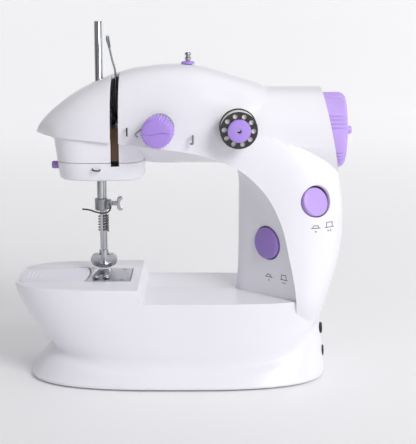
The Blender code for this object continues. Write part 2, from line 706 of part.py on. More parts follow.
# ---------------------------------------------------------------- needle bar and presser bar
def needle_bar(paint):
    slide = body("needle_bar_slide", (NEEDLE_X, 0, NEEDLE_BAR_Z[0]))
    at = slide.location / MM
    low, high = NEEDLE_BAR_Z
    bar = [(1.6, high - 26), (1.6, high), (NEEDLE_BAR_R - 0.2, high), (NEEDLE_BAR_R, high - 0.3),
           (NEEDLE_BAR_R, low)]
    place("needle_bar", *turned(bar, (NEEDLE_X, 0, 0), (0, 0, 1), 20), paint["chrome"], at, slide)
    clamp = place("needle_clamp", *block((NEEDLE_X - 3.7, NEEDLE_X + 6.4), (-3.8, 3.8), CLAMP_Z),
                  paint["steel"], at, slide)
    bore = turned([(NEEDLE_BAR_R + GAP, 90), (NEEDLE_BAR_R + GAP, 120)], (NEEDLE_X, 0, 0), (0, 0, 1), 20)
    boolean(clamp, hide(place("clamp_bore", *bore)), 'DIFFERENCE')
    needle = [(0.15, NEEDLE_TIP_Z), (0.45, NEEDLE_TIP_Z + 4), (0.45, 84.0), (0.95, 86.0),
              (0.95, low - GAP)]
    place("needle", *turned(needle, (NEEDLE_X, 0, 0), (0, 0, 1), 10), paint["chrome"], at, slide)
    route = [(-44.6, -4.6, 106.2), (-44.2, -5.0, 102.6), (-48.0, -5.4, 100.4), (-52.7, -5.2, 101.0),
             (-57.0, -4.6, 102.4), (-61.3, -4.2, 102.8)]
    place("clamp_guide", *wire(smooth_path(route, 3), 0.5, 6), paint["steel"], at, slide)
    yoke(paint, slide)
    clamp_screw(paint, slide)


def yoke(paint, slide):
    """Slotted driver on the needle bar, level with the crank pin."""
    z = SHAFT_Z + CRANK_THROW
    piece = place("needle_bar_yoke", *block((NEEDLE_X - 4.4, -46.4), (-4.4, 4.4), (z - 5, z + 5)),
                  paint["steel"], slide.location / MM, slide)
    plate = block(YOKE_X, (-16, 16), (z - 4, z + 4))
    boolean(piece, hide(place("yoke_plate", *plate)), 'UNION')
    slot = block((-46.3, -44), (-14, 14), (z - 1.9, z + 1.9))
    boolean(piece, hide(place("yoke_slot", *slot)), 'DIFFERENCE')
    bore = turned([(NEEDLE_BAR_R + GAP, 140), (NEEDLE_BAR_R + GAP, 180)], (NEEDLE_X, 0, 0), (0, 0, 1), 20)
    boolean(piece, hide(place("yoke_bore", *bore)), 'DIFFERENCE')


def clamp_screw(paint, slide):
    """Thumb screw with a two-lobed head."""
    hinge = body("clamp_screw_hinge", SCREW_AT)
    hinge.parent = slide
    hinge.location = Vector(SCREW_AT) * MM - slide.location
    shank = turned([(1.4, 0.0), (1.4, 3.6)], SCREW_AT, (1, 0, 0), 12)
    screw = place("clamp_screw", *shank, paint["chrome"], SCREW_AT)
    x, _, z = SCREW_AT
    upper = [(x + 3.0, z + 1.6), (x + 3.8, z + 4.2), (x + 6.2, z + 4.4), (x + 6.6, z + 2.6),
             (x + 5.2, z + 1.0)]
    lower = [(a, 2 * z - b) for a, b in reversed(upper)]
    lobes = upper + lower
    head = slab(lobes, -1.1, 1.1, axis="y")
    boolean(screw, hide(place("clamp_screw_head", *head)), 'UNION')
    screw.parent = hinge
    screw.location = (0, 0, 0)


def presser_bar(paint):
    slide = body("presser_slide", (PRESSER_X, PRESSER_Y, PRESSER_Z[0]))
    at = slide.location / MM
    low, high = PRESSER_Z
    rod = [(PRESSER_R, low), (PRESSER_R, high)]
    place("presser_bar", *turned(rod, (PRESSER_X, PRESSER_Y, 0), (0, 0, 1), 20), paint["chrome"], at, slide)
    turns, steps = 5, 9
    coil = []
    for i in range(turns * steps + 1):
        angle = 2 * math.pi * i / steps
        coil.append((PRESSER_X + 3.2 * math.cos(angle), PRESSER_Y + 3.2 * math.sin(angle),
                     86.2 + 10.4 * i / (turns * steps)))
    place("presser_spring", *wire(coil, 0.45, 5), paint["steel"], at, slide)
    collar = place("presser_collar", *block((-53.4, -47.0), (5.9, 17.0), (145.4, 150.0)), paint["steel"],
                   at, slide)
    fit = PRESSER_R + GAP
    bore = turned([(fit, 140), (fit, 155)], (PRESSER_X, PRESSER_Y, 0), (0, 0, 1), 20)
    boolean(collar, hide(place("collar_bore", *bore)), 'DIFFERENCE')
    foot_pieces(paint, slide)


def foot_pieces(paint, slide):
    right = [(1.8, 74.6), (1.8, 71.6), (4.6, 72.4), (7.4, 71.0), (8.4, 68.2), (7.2, 65.4), (4.6, 64.0),
             (2.4, 63.3)]
    outline = [(PRESSER_X + x, z) for x, z in right] + [(PRESSER_X - x, z) for x, z in reversed(right)]
    place("foot_holder", *slab(outline, PRESSER_Y - 2.4, PRESSER_Y + 2.4, axis="y"), paint["chrome"],
          slide.location / MM, slide)
    hinge = body("foot_hinge", FOOT_PIVOT)
    hinge.parent = slide
    hinge.location = Vector(FOOT_PIVOT) * MM - slide.location
    toe, split, heel = -13.5, 2.0, 10.0
    plan = [(-55.3, heel), (-55.3, toe + 1.5), (-54.3, toe), (-51.3, toe), (-51.3, split), (-48.7, split),
            (-48.7, toe), (-45.6, toe), (-44.6, toe + 1.5), (-44.6, heel)]
    foot = place("presser_foot", *slab(plan, BED_Z + GAP, BED_Z + 2.1), paint["chrome"], FOOT_PIVOT)
    foot.parent = hinge
    foot.location = (0, 0, 0)


def presser_lifter(paint):
    """Shaft through the rear of the head with a finger inside and a lever outside."""
    hinge = body("lifter_hinge", LIFTER_AT)
    x, _, z = LIFTER_AT
    shaft = turned([(2.4, 13.0), (2.4, 27.2)], LIFTER_AT, (0, 1, 0), 16)
    piece = place("presser_lifter", *shaft, paint["chrome"], LIFTER_AT, hinge)
    finger = slab([(x - 8.5, z - 1.5), (x + 1.0, z - 1.5), (x + 1.0, z + 1.5), (x - 8.5, z + 1.5)],
                  13.4, 16.4, axis="y")
    lever = slab([(x - 3.4, z + 3.0), (x + 3.4, z + 3.0), (x + 3.8, z - 4.0), (x + 8.6, z - 21.0),
                  (x + 4.4, z - 23.0), (x + 1.6, z - 21.4), (x - 3.0, z - 4.0)], 25.2, 27.6, axis="y")
    boolean(piece, hide(place("lifter_finger", *finger)), 'UNION')
    boolean(piece, hide(place("lifter_lever", *lever)), 'UNION')


def take_up_lever(paint):
    """Hub that turns on the main shaft, with a wire lever out through the slot."""
    hinge = body("take_up_hinge", (TAKEUP_X, 0, SHAFT_Z))
    hub = turned(tube(SHAFT_R + GAP, 6.0, -1.5, 1.5), (TAKEUP_X, 0, SHAFT_Z), (1, 0, 0), 20, closed=True)
    piece = place("take_up_lever", *hub, paint["steel"], (TAKEUP_X, 0, SHAFT_Z), hinge)
    exit_y, exit_z = TAKEUP_EXIT
    tip = Vector(TAKEUP_TIP)
    route = [(TAKEUP_X, exit_y * 0.12, SHAFT_Z + 4.6), (TAKEUP_X, exit_y, exit_z),
             (TAKEUP_X - 2.0, exit_y - 2.3, exit_z + 9), (tip.x + 0.3, tip.y + 1.4, tip.z - 6.5),
             (tip.x, tip.y, tip.z)]
    boolean(piece, hide(place("take_up_wire", *wire(smooth_path(route, 3), 0.6, 6))), 'UNION')


# ---------------------------------------------------------------- front panel
def tension_unit(paint):
    post = [(1.8, -6.0), (1.8, 13.4)]
    place("tension_post", *turned(post, TENSION_BASE, TENSION_AXIS, 12), paint["steel"])
    disc = tube(2.2, 8.4, 0.9, 3.6)
    place("tension_disc", *turned(disc, TENSION_BASE, TENSION_AXIS, 28, closed=True), paint["chrome"])
    hinge = body("tension_hinge", TENSION_BASE)
    r = TENSION_R
    knob = [(2.2, 14.0), (2.2, 9.0), (6.4, 9.0), (6.4, 4.6), (r - 0.4, 4.6), (r, 5.4), (r, 15.6),
            (r - 1.0, 17.2)]
    place("tension_knob", *turned(knob, TENSION_BASE, TENSION_AXIS, 40, ribs=0.25), paint["lavender"],
          TENSION_BASE, hinge)


def panel_wires(paint):
    spring = [(-22.2, -28.8, 155.2), (-22.4, -31.0, 155.4), (-25.2, -32.2, 153.6), (-26.8, -31.8, 151.6),
              (-25.4, -31.2, 150.6)]
    place("check_spring", *wire(smooth_path(spring, 3), 0.45, 6), paint["steel"])
    pin = [(-31.7, -28.6, 155.2), (-31.7, -30.4, 155.2), (-31.7, -31.0, 153.2), (-31.7, -30.2, 151.0)]
    place("guide_pin", *wire(smooth_path(pin, 3), 0.5, 6), paint["dark"])
    hook = [(6.8, -29.2, 150.6), (6.8, -31.8, 151.0), (6.8, -33.2, 148.8), (6.8, -32.0, 146.6),
            (5.6, -30.6, 146.4)]
    place("panel_hook", *wire(smooth_path(hook, 3), 0.7, 8), paint["dark"])


def spool_unit(paint):
    """Bobbin that feeds the upper thread, on a fixed spindle."""
    spindle = [(1.9, -6.0), (1.9, 1.6), (4.4, 1.6), (4.4, 3.0), (1.9, 3.0), (1.9, 14.6)]
    place("bobbin_spindle", *turned(spindle, SPOOL_BASE, SPOOL_AXIS, 16), paint["steel"])
    hinge = body("front_bobbin_hinge", SPOOL_BASE)
    r = SPOOL_R
    reel = [(2.3, 5.0), (r, 5.0), (r, 6.0), (4.4, 6.0), (4.4, 14.2), (r, 14.2), (r, 15.2), (2.3, 15.2)]
    bobbin = place("front_bobbin", *turned(reel, SPOOL_BASE, SPOOL_AXIS, 24, closed=True), paint["dark"],
                   SPOOL_BASE, hinge)
    turn = Vector((0, 0, 1)).rotation_difference(Vector(SPOOL_AXIS)).to_matrix()
    holes = []
    for k in range(10):
        angle = 2 * math.pi * k / 10
        centre = Vector(SPOOL_BASE) + turn @ Vector((8.5 * math.cos(angle), 8.5 * math.sin(angle), 0))
        holes.append(turned([(1.4, 0.0), (1.4, 20.0)], centre, SPOOL_AXIS, 6))
    boolean(bobbin, hide(place("bobbin_holes", *merge(*holes))), 'DIFFERENCE')
    cap = [(1.3, 15.5), (6.8, 15.5), (6.8, 17.0), (5.8, 17.8), (1.3, 17.8)]
    place("bobbin_cap", *turned(cap, SPOOL_BASE, SPOOL_AXIS, 28, closed=True), paint["lavender"],
          SPOOL_BASE, hinge)


def buttons(paint):
    for name, at, axis, r, top, finish in (
            ("power_button", POWER_BASE, POWER_AXIS, POWER_R, 2.1, "lavender"),
            ("speed_button", SPEED_BASE, SPEED_AXIS, SPEED_R, 2.9, "violet")):
        profile = [(6.0, -6.5), (6.0, -3.5), (r, -3.5), (r, top - 1.9), (r - 1.2, top - 0.7), (5.0, top)]
        slide = body(name + "_slide", at)
        place(name, *turned(profile, at, axis, 32), paint[finish], at, slide)


def spool_pin(paint):
    crest = 190.7
    base = [(1.8, crest - 6), (2.3, crest - 6), (2.3, crest + GAP), (4.2, crest + GAP),
            (3.8, crest + 1.6), (1.8, crest + 1.6)]
    ring = turned(base, (SPOOL_PIN_X, 0, 0), (0, 0, 1), 20, closed=True)
    place("spool_pin_base", *ring, paint["lavender"])
    slide = body("spool_pin_slide", (SPOOL_PIN_X, 0, crest))
    top = SPOOL_PIN_TOP_Z
    pin = [(1.4, 157.0), (1.4, top - 4.6), (2.0, top - 4.4), (2.0, top - 3.2), (1.4, top - 3.0),
           (1.4, top - 1.8), (2.0, top - 1.6), (2.0, top - 0.4), (1.6, top)]
    place("spool_pin", *turned(pin, (SPOOL_PIN_X, 0, 0), (0, 0, 1), 14), paint["chrome"],
          slide.location / MM, slide)


# ---------------------------------------------------------------- drive
def belt(low, low_r, high, high_r, x, thickness, sides=12):
    """Closed belt round two pulleys; low and high are (y, z) centres."""
    a, b = Vector(low), Vector(high)
    span = b - a
    lean = math.acos((low_r - high_r) / span.length)
    heading = math.atan2(span.y, span.x)
    loops = []
    for extra in (0.0, thickness):
        loop = []
        for centre, radius, start, end in ((a, low_r, heading + lean, heading + 2 * math.pi - lean),
                                           (b, high_r, heading - lean, heading + lean)):
            for k in range(sides + 1):
                angle = start + (end - start) * k / sides
                loop.append(centre + Vector((math.cos(angle), math.sin(angle))) * (radius + extra))
        loops.append(loop)
    inner, outer = loops
    rings = []
    for level, loop in ((x[0], inner), (x[0], outer), (x[1], outer), (x[1], inner)):
        rings.append([(level, p.x, p.y) for p in loop])
    return wrap(rings)


def main_shaft_group(paint):
    spin = body("main_shaft_spin", (0, 0, SHAFT_Z))
    at = (0, 0, SHAFT_Z)
    shaft = [(SHAFT_R, SHAFT_X[0]), (SHAFT_R, SHAFT_X[1])]
    place("main_shaft", *turned(shaft, at, (1, 0, 0), 20), paint["steel"], at, spin)
    r = WHEEL_R
    left, right = WHEEL_X
    fit = SHAFT_R + GAP
    web = 92.0
    wheel = [(fit, left + 1), (8.0, left + 1), (8.0, web), (r - 2.2, web), (r - 2.2, left), (r, left),
             (r, right - 3.4), (r - 1.4, right - 0.9), (r - 4.0, right), (fit, right + 0.4)]
    place("handwheel", *turned(wheel, at, (1, 0, 0), 40, closed=True), paint["lavender"], at, spin)
    tip = [(2.6, right + 0.7), (2.6, right + 2.6), (1.8, WINDER_TIP_X)]
    place("winder_spindle", *turned(tip, at, (1, 0, 0), 16), paint["lavender"], at, spin)
    disc = turned([(CRANK_THROW + 2, x) for x in CRANK_X], at, (1, 0, 0), 28)
    crank = place("crank_disc", *disc, paint["steel"], at, spin)
    pin = turned([(1.5, x) for x in CRANK_PIN_X], (0, 0, SHAFT_Z + CRANK_THROW), (1, 0, 0), 12)
    boolean(crank, hide(place("crank_pin", *pin)), 'UNION')
    t0, t1 = TIMING_BELT_X
    b0, b1 = DRIVE_BELT_X
    big = SHAFT_PULLEY_R
    rim, lip = TIMING_R + 2, big + 1.6
    pulley = [(fit, t0 - 1), (rim, t0 - 1), (rim, t0 - GAP), (TIMING_R, t0 - GAP), (TIMING_R, t1 + GAP),
              (rim, t1 + GAP), (lip, b0 - 1), (lip, b0 - GAP), (big, b0 - GAP), (big, b1 + GAP),
              (lip, b1 + GAP), (lip, b1 + 1), (fit, b1 + 1)]
    place("shaft_pulley", *turned(pulley, at, (1, 0, 0), 28, closed=True), paint["nylon"], at, spin)


def bearings(paint):
    """Rings that carry the main shaft, each on an arm from the rear housing."""
    for name, x, depth, z in (("main_bearing_left", (-36.0, -31.0), 24.3, (151.0, 156.5)),
                              ("main_bearing_right", (44.0, 49.0), 23.3, (147.5, 152.5))):
        ring = turned([(7.0, x[0]), (7.0, x[1])], (0, 0, SHAFT_Z), (1, 0, 0), 20)
        piece = place(name, *ring, paint["nylon"])
        arm = block((x[0] + 0.5, x[1] - 0.5), (4.0, depth), z)
        boolean(piece, hide(place(name + "_arm", *arm)), 'UNION')
        fit = SHAFT_R + GAP
        bore = turned([(fit, x[0] - 3), (fit, x[1] + 3)], (0, 0, SHAFT_Z), (1, 0, 0), 20)
        boolean(piece, hide(place(name + "_bore", *bore)), 'DIFFERENCE')


def lower_shaft_group(paint):
    at = (0, 0, LOWER_Z)
    spin = body("lower_shaft_spin", at)
    t0, t1 = TIMING_BELT_X
    rim = TIMING_R + 2
    shaft = [(SHAFT_R, -53.1), (SHAFT_R, t0 - 1), (rim, t0 - 1), (rim, t0 - GAP), (TIMING_R, t0 - GAP),
             (TIMING_R, t1 + GAP), (rim, t1 + GAP), (rim, t1 + 1), (SHAFT_R, t1 + 1), (SHAFT_R, t1 + 8)]
    place("lower_shaft", *turned(shaft, at, (1, 0, 0), 24), paint["steel"], at, spin)
    left, right = HOOK_X
    hook = [(5.0, right), (5.0, right - 2.0), (HOOK_R, right - 2.0), (HOOK_R, left), (HOOK_R - 1.2, left),
            (HOOK_R - 1.2, right - 3.6)]
    place("hook", *turned(hook, at, (1, 0, 0), 28), paint["steel"], at, spin)
    case = [(HOOK_R - 1.6, right - 4.0), (HOOK_R - 1.6, left - 0.8), (HOOK_R - 2.8, left - 0.8),
            (HOOK_R - 2.8, right - 5.0)]
    place("bobbin_case", *turned(case, at, (1, 0, 0), 28), paint["chrome"])
    turn = body("lower_bobbin_spin", at)
    r = BOBBIN_R
    reel = [(3.0, left - 0.4), (r, left - 0.4), (r, left + 0.4), (4.5, left + 0.4), (4.5, right - 6.2),
            (r, right - 6.2), (r, right - 5.4), (3.0, right - 5.4)]
    place("lower_bobbin", *turned(reel, at, (1, 0, 0), 24, closed=True), paint["chrome"], at, turn)


def belts(paint):
    timing = belt((0, LOWER_Z), TIMING_R + GAP, (0, SHAFT_Z), TIMING_R + GAP, TIMING_BELT_X, 1.2)
    place("timing_belt", *timing, paint["rubber"])
    drive = belt((MOTOR_Y, MOTOR_Z), MOTOR_PULLEY_R + GAP, (0, SHAFT_Z), SHAFT_PULLEY_R + GAP,
                 DRIVE_BELT_X, 1.2)
    place("drive_belt", *drive, paint["rubber"])


def motor_group(paint):
    at = (0, MOTOR_Y, MOTOR_Z)
    x0, x1 = MOTOR_X
    can = [(MOTOR_R - 1.0, x0), (MOTOR_R, x0 + 1), (MOTOR_R, x1 - 1), (MOTOR_R - 1.0, x1)]
    place("motor", *turned(can, at, (1, 0, 0), 28), paint["steel"])
    spin = body("motor_spin", at)
    b0, b1 = DRIVE_BELT_X
    r = MOTOR_PULLEY_R
    pulley = [(1.2, x1 + GAP), (1.2, b0 - 1.2), (r + 1.6, b0 - 1.0), (r + 1.6, b0 - 0.3), (r, b0 - 0.3),
              (r, b1 + 0.3), (r + 1.6, b1 + 0.3), (r + 1.6, b1 + 1.0)]
    place("motor_pulley", *turned(pulley, at, (1, 0, 0), 20), paint["brass"], at, spin)


def jacks(paint):
    for name, z, bore, x in (("dc_jack", POWER_JACK_Z, 2.4, 86.0), ("pedal_jack", PEDAL_JACK_Z, 1.8, 87.2)):
        ring = tube(bore, JACK_R, 79.0, x)
        place(name, *turned(ring, (0, JACK_Y, z), (1, 0, 0), 20, closed=True), paint["black"])


# ---------------------------------------------------------------- build
def main():
    clear_scene()
    paint = make_materials()
    housings(paint)
    for make in (base_plate, battery_door, battery_box, feet, slide_cover, needle_plate, feed_dog,
                 head_cap, head_trim, light_switch, needle_bar, presser_bar, presser_lifter,
                 take_up_lever, tension_unit, panel_wires, spool_unit, buttons, spool_pin,
                 main_shaft_group, bearings, lower_shaft_group, belts, motor_group, jacks):
        make(paint)


main()
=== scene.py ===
import json
import math

import bmesh
import bpy
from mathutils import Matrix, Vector
from mathutils.bvhtree import BVHTree


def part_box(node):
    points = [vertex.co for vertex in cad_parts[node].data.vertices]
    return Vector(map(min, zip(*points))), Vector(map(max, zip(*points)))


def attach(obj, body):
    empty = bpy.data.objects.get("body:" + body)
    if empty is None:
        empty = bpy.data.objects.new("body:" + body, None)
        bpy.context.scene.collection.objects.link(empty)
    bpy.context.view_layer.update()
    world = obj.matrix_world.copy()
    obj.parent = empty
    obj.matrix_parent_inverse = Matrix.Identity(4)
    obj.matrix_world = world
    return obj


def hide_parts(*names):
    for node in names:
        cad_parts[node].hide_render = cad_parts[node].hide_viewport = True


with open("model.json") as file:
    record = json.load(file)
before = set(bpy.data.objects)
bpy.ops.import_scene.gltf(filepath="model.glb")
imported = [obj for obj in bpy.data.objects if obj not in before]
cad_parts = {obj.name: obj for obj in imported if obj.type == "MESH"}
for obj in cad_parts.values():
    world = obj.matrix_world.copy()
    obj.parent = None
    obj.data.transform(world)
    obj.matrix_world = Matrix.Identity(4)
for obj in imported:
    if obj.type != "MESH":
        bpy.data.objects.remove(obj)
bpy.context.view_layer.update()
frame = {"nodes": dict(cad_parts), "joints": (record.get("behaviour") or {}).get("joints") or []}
nodes = frame["nodes"]
joints = {joint["name"]: joint for joint in frame["joints"]}


# ------------------------------------------------------------------ front and rear housings
# Two halves of gloss white ABS, injection moulded and screwed together on the centre plane: a drooping
# nose, a crowned panel that sweeps down into the column, a round handwheel housing and a boat-shaped
# base on a flared skirt. Lengths here and below are millimetres unless a name says metres.
MM = 0.001
SPLIT = 0.15
WALL = 2.3
STATIONS = [
    ((-88.2, 150.6), (-87.0, 149.8), (-84.5, 149.0), 4.0),
    ((-85.4, 156.0), (-82.0, 149.4), (-79.5, 146.5), 12.0),
    ((-76.5, 165.0), (-74.0, 148.8), (-72.5, 143.0), 20.5),
    ((-61.5, 175.6), (-60.0, 147.8), (-60.0, 139.0), 25.5),
    ((-40.3, 185.2), (-41.0, 146.2), (-41.5, 136.5), 27.2),
    ((-20.0, 189.6), (-18.5, 143.4), (-20.0, 131.2), 27.8),
    ((4.8, 190.4), (5.0, 140.4), (4.0, 131.0), 28.2),
    ((29.5, 184.2), (22.7, 135.4), (21.0, 131.0), 28.4),
    ((53.0, 176.0), (35.5, 129.3), (31.2, 129.6), 28.8),
    ((75.0, 162.0), (47.5, 118.3), (34.2, 122.0), 29.8),
    ((90.5, 141.0), (54.5, 107.8), (34.4, 110.0), 31.3),
    ((96.6, 115.0), (60.0, 94.5), (34.4, 95.0), 33.6),
    ((97.8, 92.0), (63.4, 79.0), (34.4, 79.0), 35.2),
    ((94.8, 71.0), (66.4, 64.5), (34.0, 64.0), 36.3),
    ((88.8, 51.0), (68.2, 50.5), (33.0, 50.5), 35.8),
    ((85.0, 38.0), (68.2, 38.0), (33.0, 38.0), 29.0),
]
PANEL_POWER = 2.5
LIP = 3.0
DECK_Z = 52.0
BED_Z = 60.5
BED_RIGHT_X = -26.0
SHAFT_Z = 151.0


def smooth_path(points, steps):
    """Catmull-Rom points through a route."""
    route = [Vector(p) for p in points]
    route = [2 * route[0] - route[1]] + route + [2 * route[-1] - route[-2]]
    result = []
    for i in range(1, len(route) - 2):
        a, b, c, d = route[i - 1:i + 3]
        for step in range(steps):
            t = step / steps
            result.append(0.5 * ((2 * b) + (c - a) * t + (2 * a - 5 * b + 4 * c - d) * t ** 2
                                 + (3 * b - a - 3 * c + d) * t ** 3))
    result.append(route[-2])
    return result


def stack(rings, close_ends=True):
    """Join rings of equal length into one skin, with a face across each end."""
    count = len(rings[0])
    verts = [point for ring in rings for point in ring]
    faces = []
    for row in range(len(rings) - 1):
        for i in range(count):
            j = (i + 1) % count
            faces.append((row * count + i, row * count + j, (row + 1) * count + j, (row + 1) * count + i))
    if close_ends:
        last = (len(rings) - 1) * count
        faces.append(tuple(range(count)))
        faces.append(tuple(last + i for i in range(count)))
    return verts, faces


def raw_piece(name, verts, faces):
    """Mesh object from millimetre points, normals outward."""
    mesh = bpy.data.meshes.new(name)
    mesh.from_pydata([Vector(v) * MM for v in verts], [], faces)
    shape = bmesh.new()
    shape.from_mesh(mesh)
    bmesh.ops.recalc_face_normals(shape, faces=shape.faces)
    shape.to_mesh(mesh)
    shape.free()
    piece = bpy.data.objects.new(name, mesh)
    bpy.context.collection.objects.link(piece)
    return piece


def apply_modifiers(piece):
    graph = bpy.context.evaluated_depsgraph_get()
    graph.update()
    mesh = bpy.data.meshes.new_from_object(piece.evaluated_get(graph))
    piece.modifiers.clear()
    piece.data = mesh
    return piece


def carve(piece, tool, operation="DIFFERENCE"):
    """Cut one shape by another, or join them, and drop the tool."""
    cut = piece.modifiers.new("carve", "BOOLEAN")
    cut.operation = operation
    cut.solver = "MANIFOLD"
    cut.object = tool
    apply_modifiers(piece)
    bpy.data.objects.remove(tool)
    return piece


def finish_piece(piece, finish, body, replaces=(), sharp=35):
    """Smooth shading, material, and the body that the piece moves with."""
    piece.data.materials.clear()
    piece.data.materials.append(finish)
    piece.data.shade_smooth()
    piece.data.set_sharp_from_angle(angle=math.radians(sharp))
    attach(piece, body)
    if replaces:
        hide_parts(*replaces)
    return piece


def superellipse(angle, left, right, half_y, power):
    c, s = math.cos(angle), math.sin(angle)
    x = 0.5 * (left + right) + 0.5 * (right - left) * math.copysign(abs(c) ** (2 / power), c)
    return x, half_y * math.copysign(abs(s) ** (2 / power), s)


def arm_skin(inset):
    """Arm and column: rings across the centre line, from the nose down to the deck."""
    chosen = STATIONS[2 if inset else 0:]
    lines = [[Vector((*s[0], 0)) for s in chosen], [Vector((*s[1], 0)) for s in chosen],
             [Vector((*s[2], 0)) for s in chosen], [Vector((s[3], 0, 0)) for s in chosen]]
    rings = []
    for crest, edge, under, depth in zip(*(smooth_path(line, 2 if inset else 8) for line in lines)):
        across = (crest - edge).normalized()
        below = (edge - under).normalized()
        crest, edge = crest - across * inset, edge + across * inset * 0.6
        under, depth = under + below * inset * 1.25, depth.x - inset
        lip = LIP + inset * 0.35
        steps = 6 if inset else 22
        half = []
        for k in range(steps + 1):
            turn = math.pi / 2 * k / steps
            reach = math.cos(turn) ** (2 / PANEL_POWER) if k < steps else 0.0
            out = math.sin(turn) ** (2 / PANEL_POWER) if k else 0.0
            point = edge.lerp(crest, reach)
            half.append((point.x, -depth * out, point.y))
        back = max(depth - lip, 0.5)
        fall = [(0.0, 1.0, 0.0), (0.5, 0.52, 0.0), (0.9, 0.16, 0.0), (1.0, 0.0, 0.0)]
        for share in smooth_path(fall, 1 if inset else 4):
            point = edge.lerp(under, share.x)
            half.append((point.x, -back * max(share.y, 0.0), point.y))
        half[-1] = (under.x, 0.0, under.y)
        rings.append(half + [(x, -y, z) for x, y, z in reversed(half[1:-1])])
    verts, faces = stack(rings, close_ends=False)
    count = len(rings[0])
    faces += [(i, (i + 1) % count, len(verts)) for i in range(count)]
    faces.append(tuple(range(len(verts) - count, len(verts))))
    verts.append(sum((Vector(p) for p in rings[0]), Vector()) / count)
    return verts, faces


def base_ring(level, part, inset, sides):
    """One ring of the base: the skirt runs up to the crease, the hull from the crease to the bed."""
    ring = []
    for i in range(sides):
        angle = 2 * math.pi * i / sides
        crease = superellipse(angle, -81.0 + inset, 85.0 - inset, 36.8 - inset, 2.8)
        end_height = 36.0 if math.cos(angle) > 0 else 20.0
        crease_z = 13.0 + (end_height - 13.0) * abs(math.cos(angle)) ** 3
        if part == "skirt":
            end = superellipse(angle, -94.0 + inset, 88.2 - inset, 47.0 - inset, 2.8)
            end_z, share, lift = 2.5, 1 - level, 1 - level
        else:
            end = superellipse(angle, -103.0 + inset, 89.5 - inset, 40.3 - inset, 3.6)
            end_z, share, lift = BED_Z - 1.0, 1 - (1 - level) ** 1.35, level
        ring.append((crease[0] + (end[0] - crease[0]) * share, crease[1] + (end[1] - crease[1]) * share,
                     crease_z + (end_z - crease_z) * lift))
    return ring


def shrunk_ring(ring, amount, height):
    shrunk = []
    for x, y, _ in ring:
        share = 1 - amount / math.hypot(x, y)
        shrunk.append((x * share, y * share, height))
    return shrunk


def hull_skin():
    sides = 180
    bottom = base_ring(0.0, "skirt", 0.0, sides)
    marks = [bottom, base_ring(0.55, "skirt", 0.0, sides), base_ring(1.0, "skirt", 0.0, sides)]
    marks += [base_ring(level, "hull", 0.0, sides) for level in (0.2, 0.4, 0.6, 0.8, 1.0)]
    columns = [smooth_path([ring[i] for ring in marks], 6) for i in range(sides)]
    rings = [shrunk_ring(bottom, 1.6, 1.0), shrunk_ring(bottom, 0.5, 1.3)]
    rings += [[column[row] for column in columns] for row in range(len(columns[0]))]
    rings += [shrunk_ring(rings[-1], 0.3, BED_Z - 0.3), shrunk_ring(rings[-1], 1.0, BED_Z)]
    return stack(rings)


def hull_hollow():
    sides = 60
    share = (DECK_Z - WALL - 13.0) / (BED_Z - 1.0 - 13.0)
    bottom = base_ring(0.0, "skirt", WALL, sides)
    rings = [[(x, y, -1.0) for x, y, _ in bottom], bottom]
    rings += [base_ring(level, "skirt", WALL, sides) for level in (0.5, 1.0)]
    rings += [base_ring(level * share, "hull", WALL, sides) for level in (0.33, 0.66)]
    rings.append([(x, y, DECK_Z - WALL) for x, y, _ in base_ring(share, "hull", WALL, sides)])
    return stack(rings)


def head_ring(level, inset, sides):
    """The head's plan at one height; its left end leans in towards the bottom."""
    lean = 3.6 * (150.0 - level) / 27.0
    left, right = -77.5 + lean + inset, -23.0 - inset
    return [(*superellipse(2 * math.pi * i / sides, left, right, 24.2 - inset, 3.4), level)
            for i in range(sides)]


def head_block(inset, low, high):
    return stack([head_ring(level, inset, 96) for level in (low, high)])


def shroud(radius, left, shift):
    """Round housing of the handwheel, cut on a slant at its open end."""
    sides = 96
    rings = []
    for is_open in (False, True):
        ring = []
        for i in range(sides):
            y = radius * math.sin(2 * math.pi * i / sides)
            z = radius * math.cos(2 * math.pi * i / sides)
            ring.append((83.2 + (26.3 - z) * 0.213 + shift if is_open else left, y, SHAFT_Z + z))
        rings.append(ring)
    return stack(rings)


def block(x, y, z):
    return stack([[(x[0], y[0], level), (x[1], y[0], level), (x[1], y[1], level), (x[0], y[1], level)]
                  for level in z])


def slab(outline, low, high, axis="z"):
    """An outline drawn out along Z, or along Y for one drawn in X and Z."""
    if axis == "y":
        return stack([[(a, level, b) for a, b in outline] for level in (low, high)])
    return stack([[(a, b, level) for a, b in outline] for level in (low, high)])


def lathe(profile, at, axis, sides=48, bored=False, groove=None):
    """Turn (radius, distance along axis) points; groove(angle) thins the rim of a knurled piece."""
    turn = Vector((0, 0, 1)).rotation_difference(Vector(axis).normalized()).to_matrix()
    widest = max(radius for radius, _ in profile)
    rings = []
    for radius, distance in profile:
        ring = []
        for i in range(sides):
            angle = 2 * math.pi * i / sides
            cut = groove(angle) if groove and radius > 0.93 * widest else 0.0
            spot = Vector(((radius - cut) * math.cos(angle), (radius - cut) * math.sin(angle), distance))
            ring.append(Vector(at) + turn @ spot)
        rings.append(ring)
    if not bored:
        return stack(rings)
    verts, faces = stack(rings + rings[:1], close_ends=False)
    keep = len(verts) - sides
    return verts[:keep], [tuple(i % keep for i in face) for face in faces]


def rounded(profile, ease=0.4, steps=3):
    """Round the corners of a turned profile."""
    points = [Vector(p) for p in profile]
    result = [points[0]]
    for before, corner, after in zip(points, points[1:], points[2:]):
        start = corner + (before - corner).normalized() * min(ease, 0.45 * (before - corner).length)
        end = corner + (after - corner).normalized() * min(ease, 0.45 * (after - corner).length)
        for k in range(steps + 1):
            t = k / steps
            result.append((1 - t) ** 2 * start + 2 * t * (1 - t) * corner + t ** 2 * end)
    return [tuple(p) for p in result + [points[-1]]]


def cover_bow(y):
    return -57.8 - 2.6 * (y / 19.0) ** 2


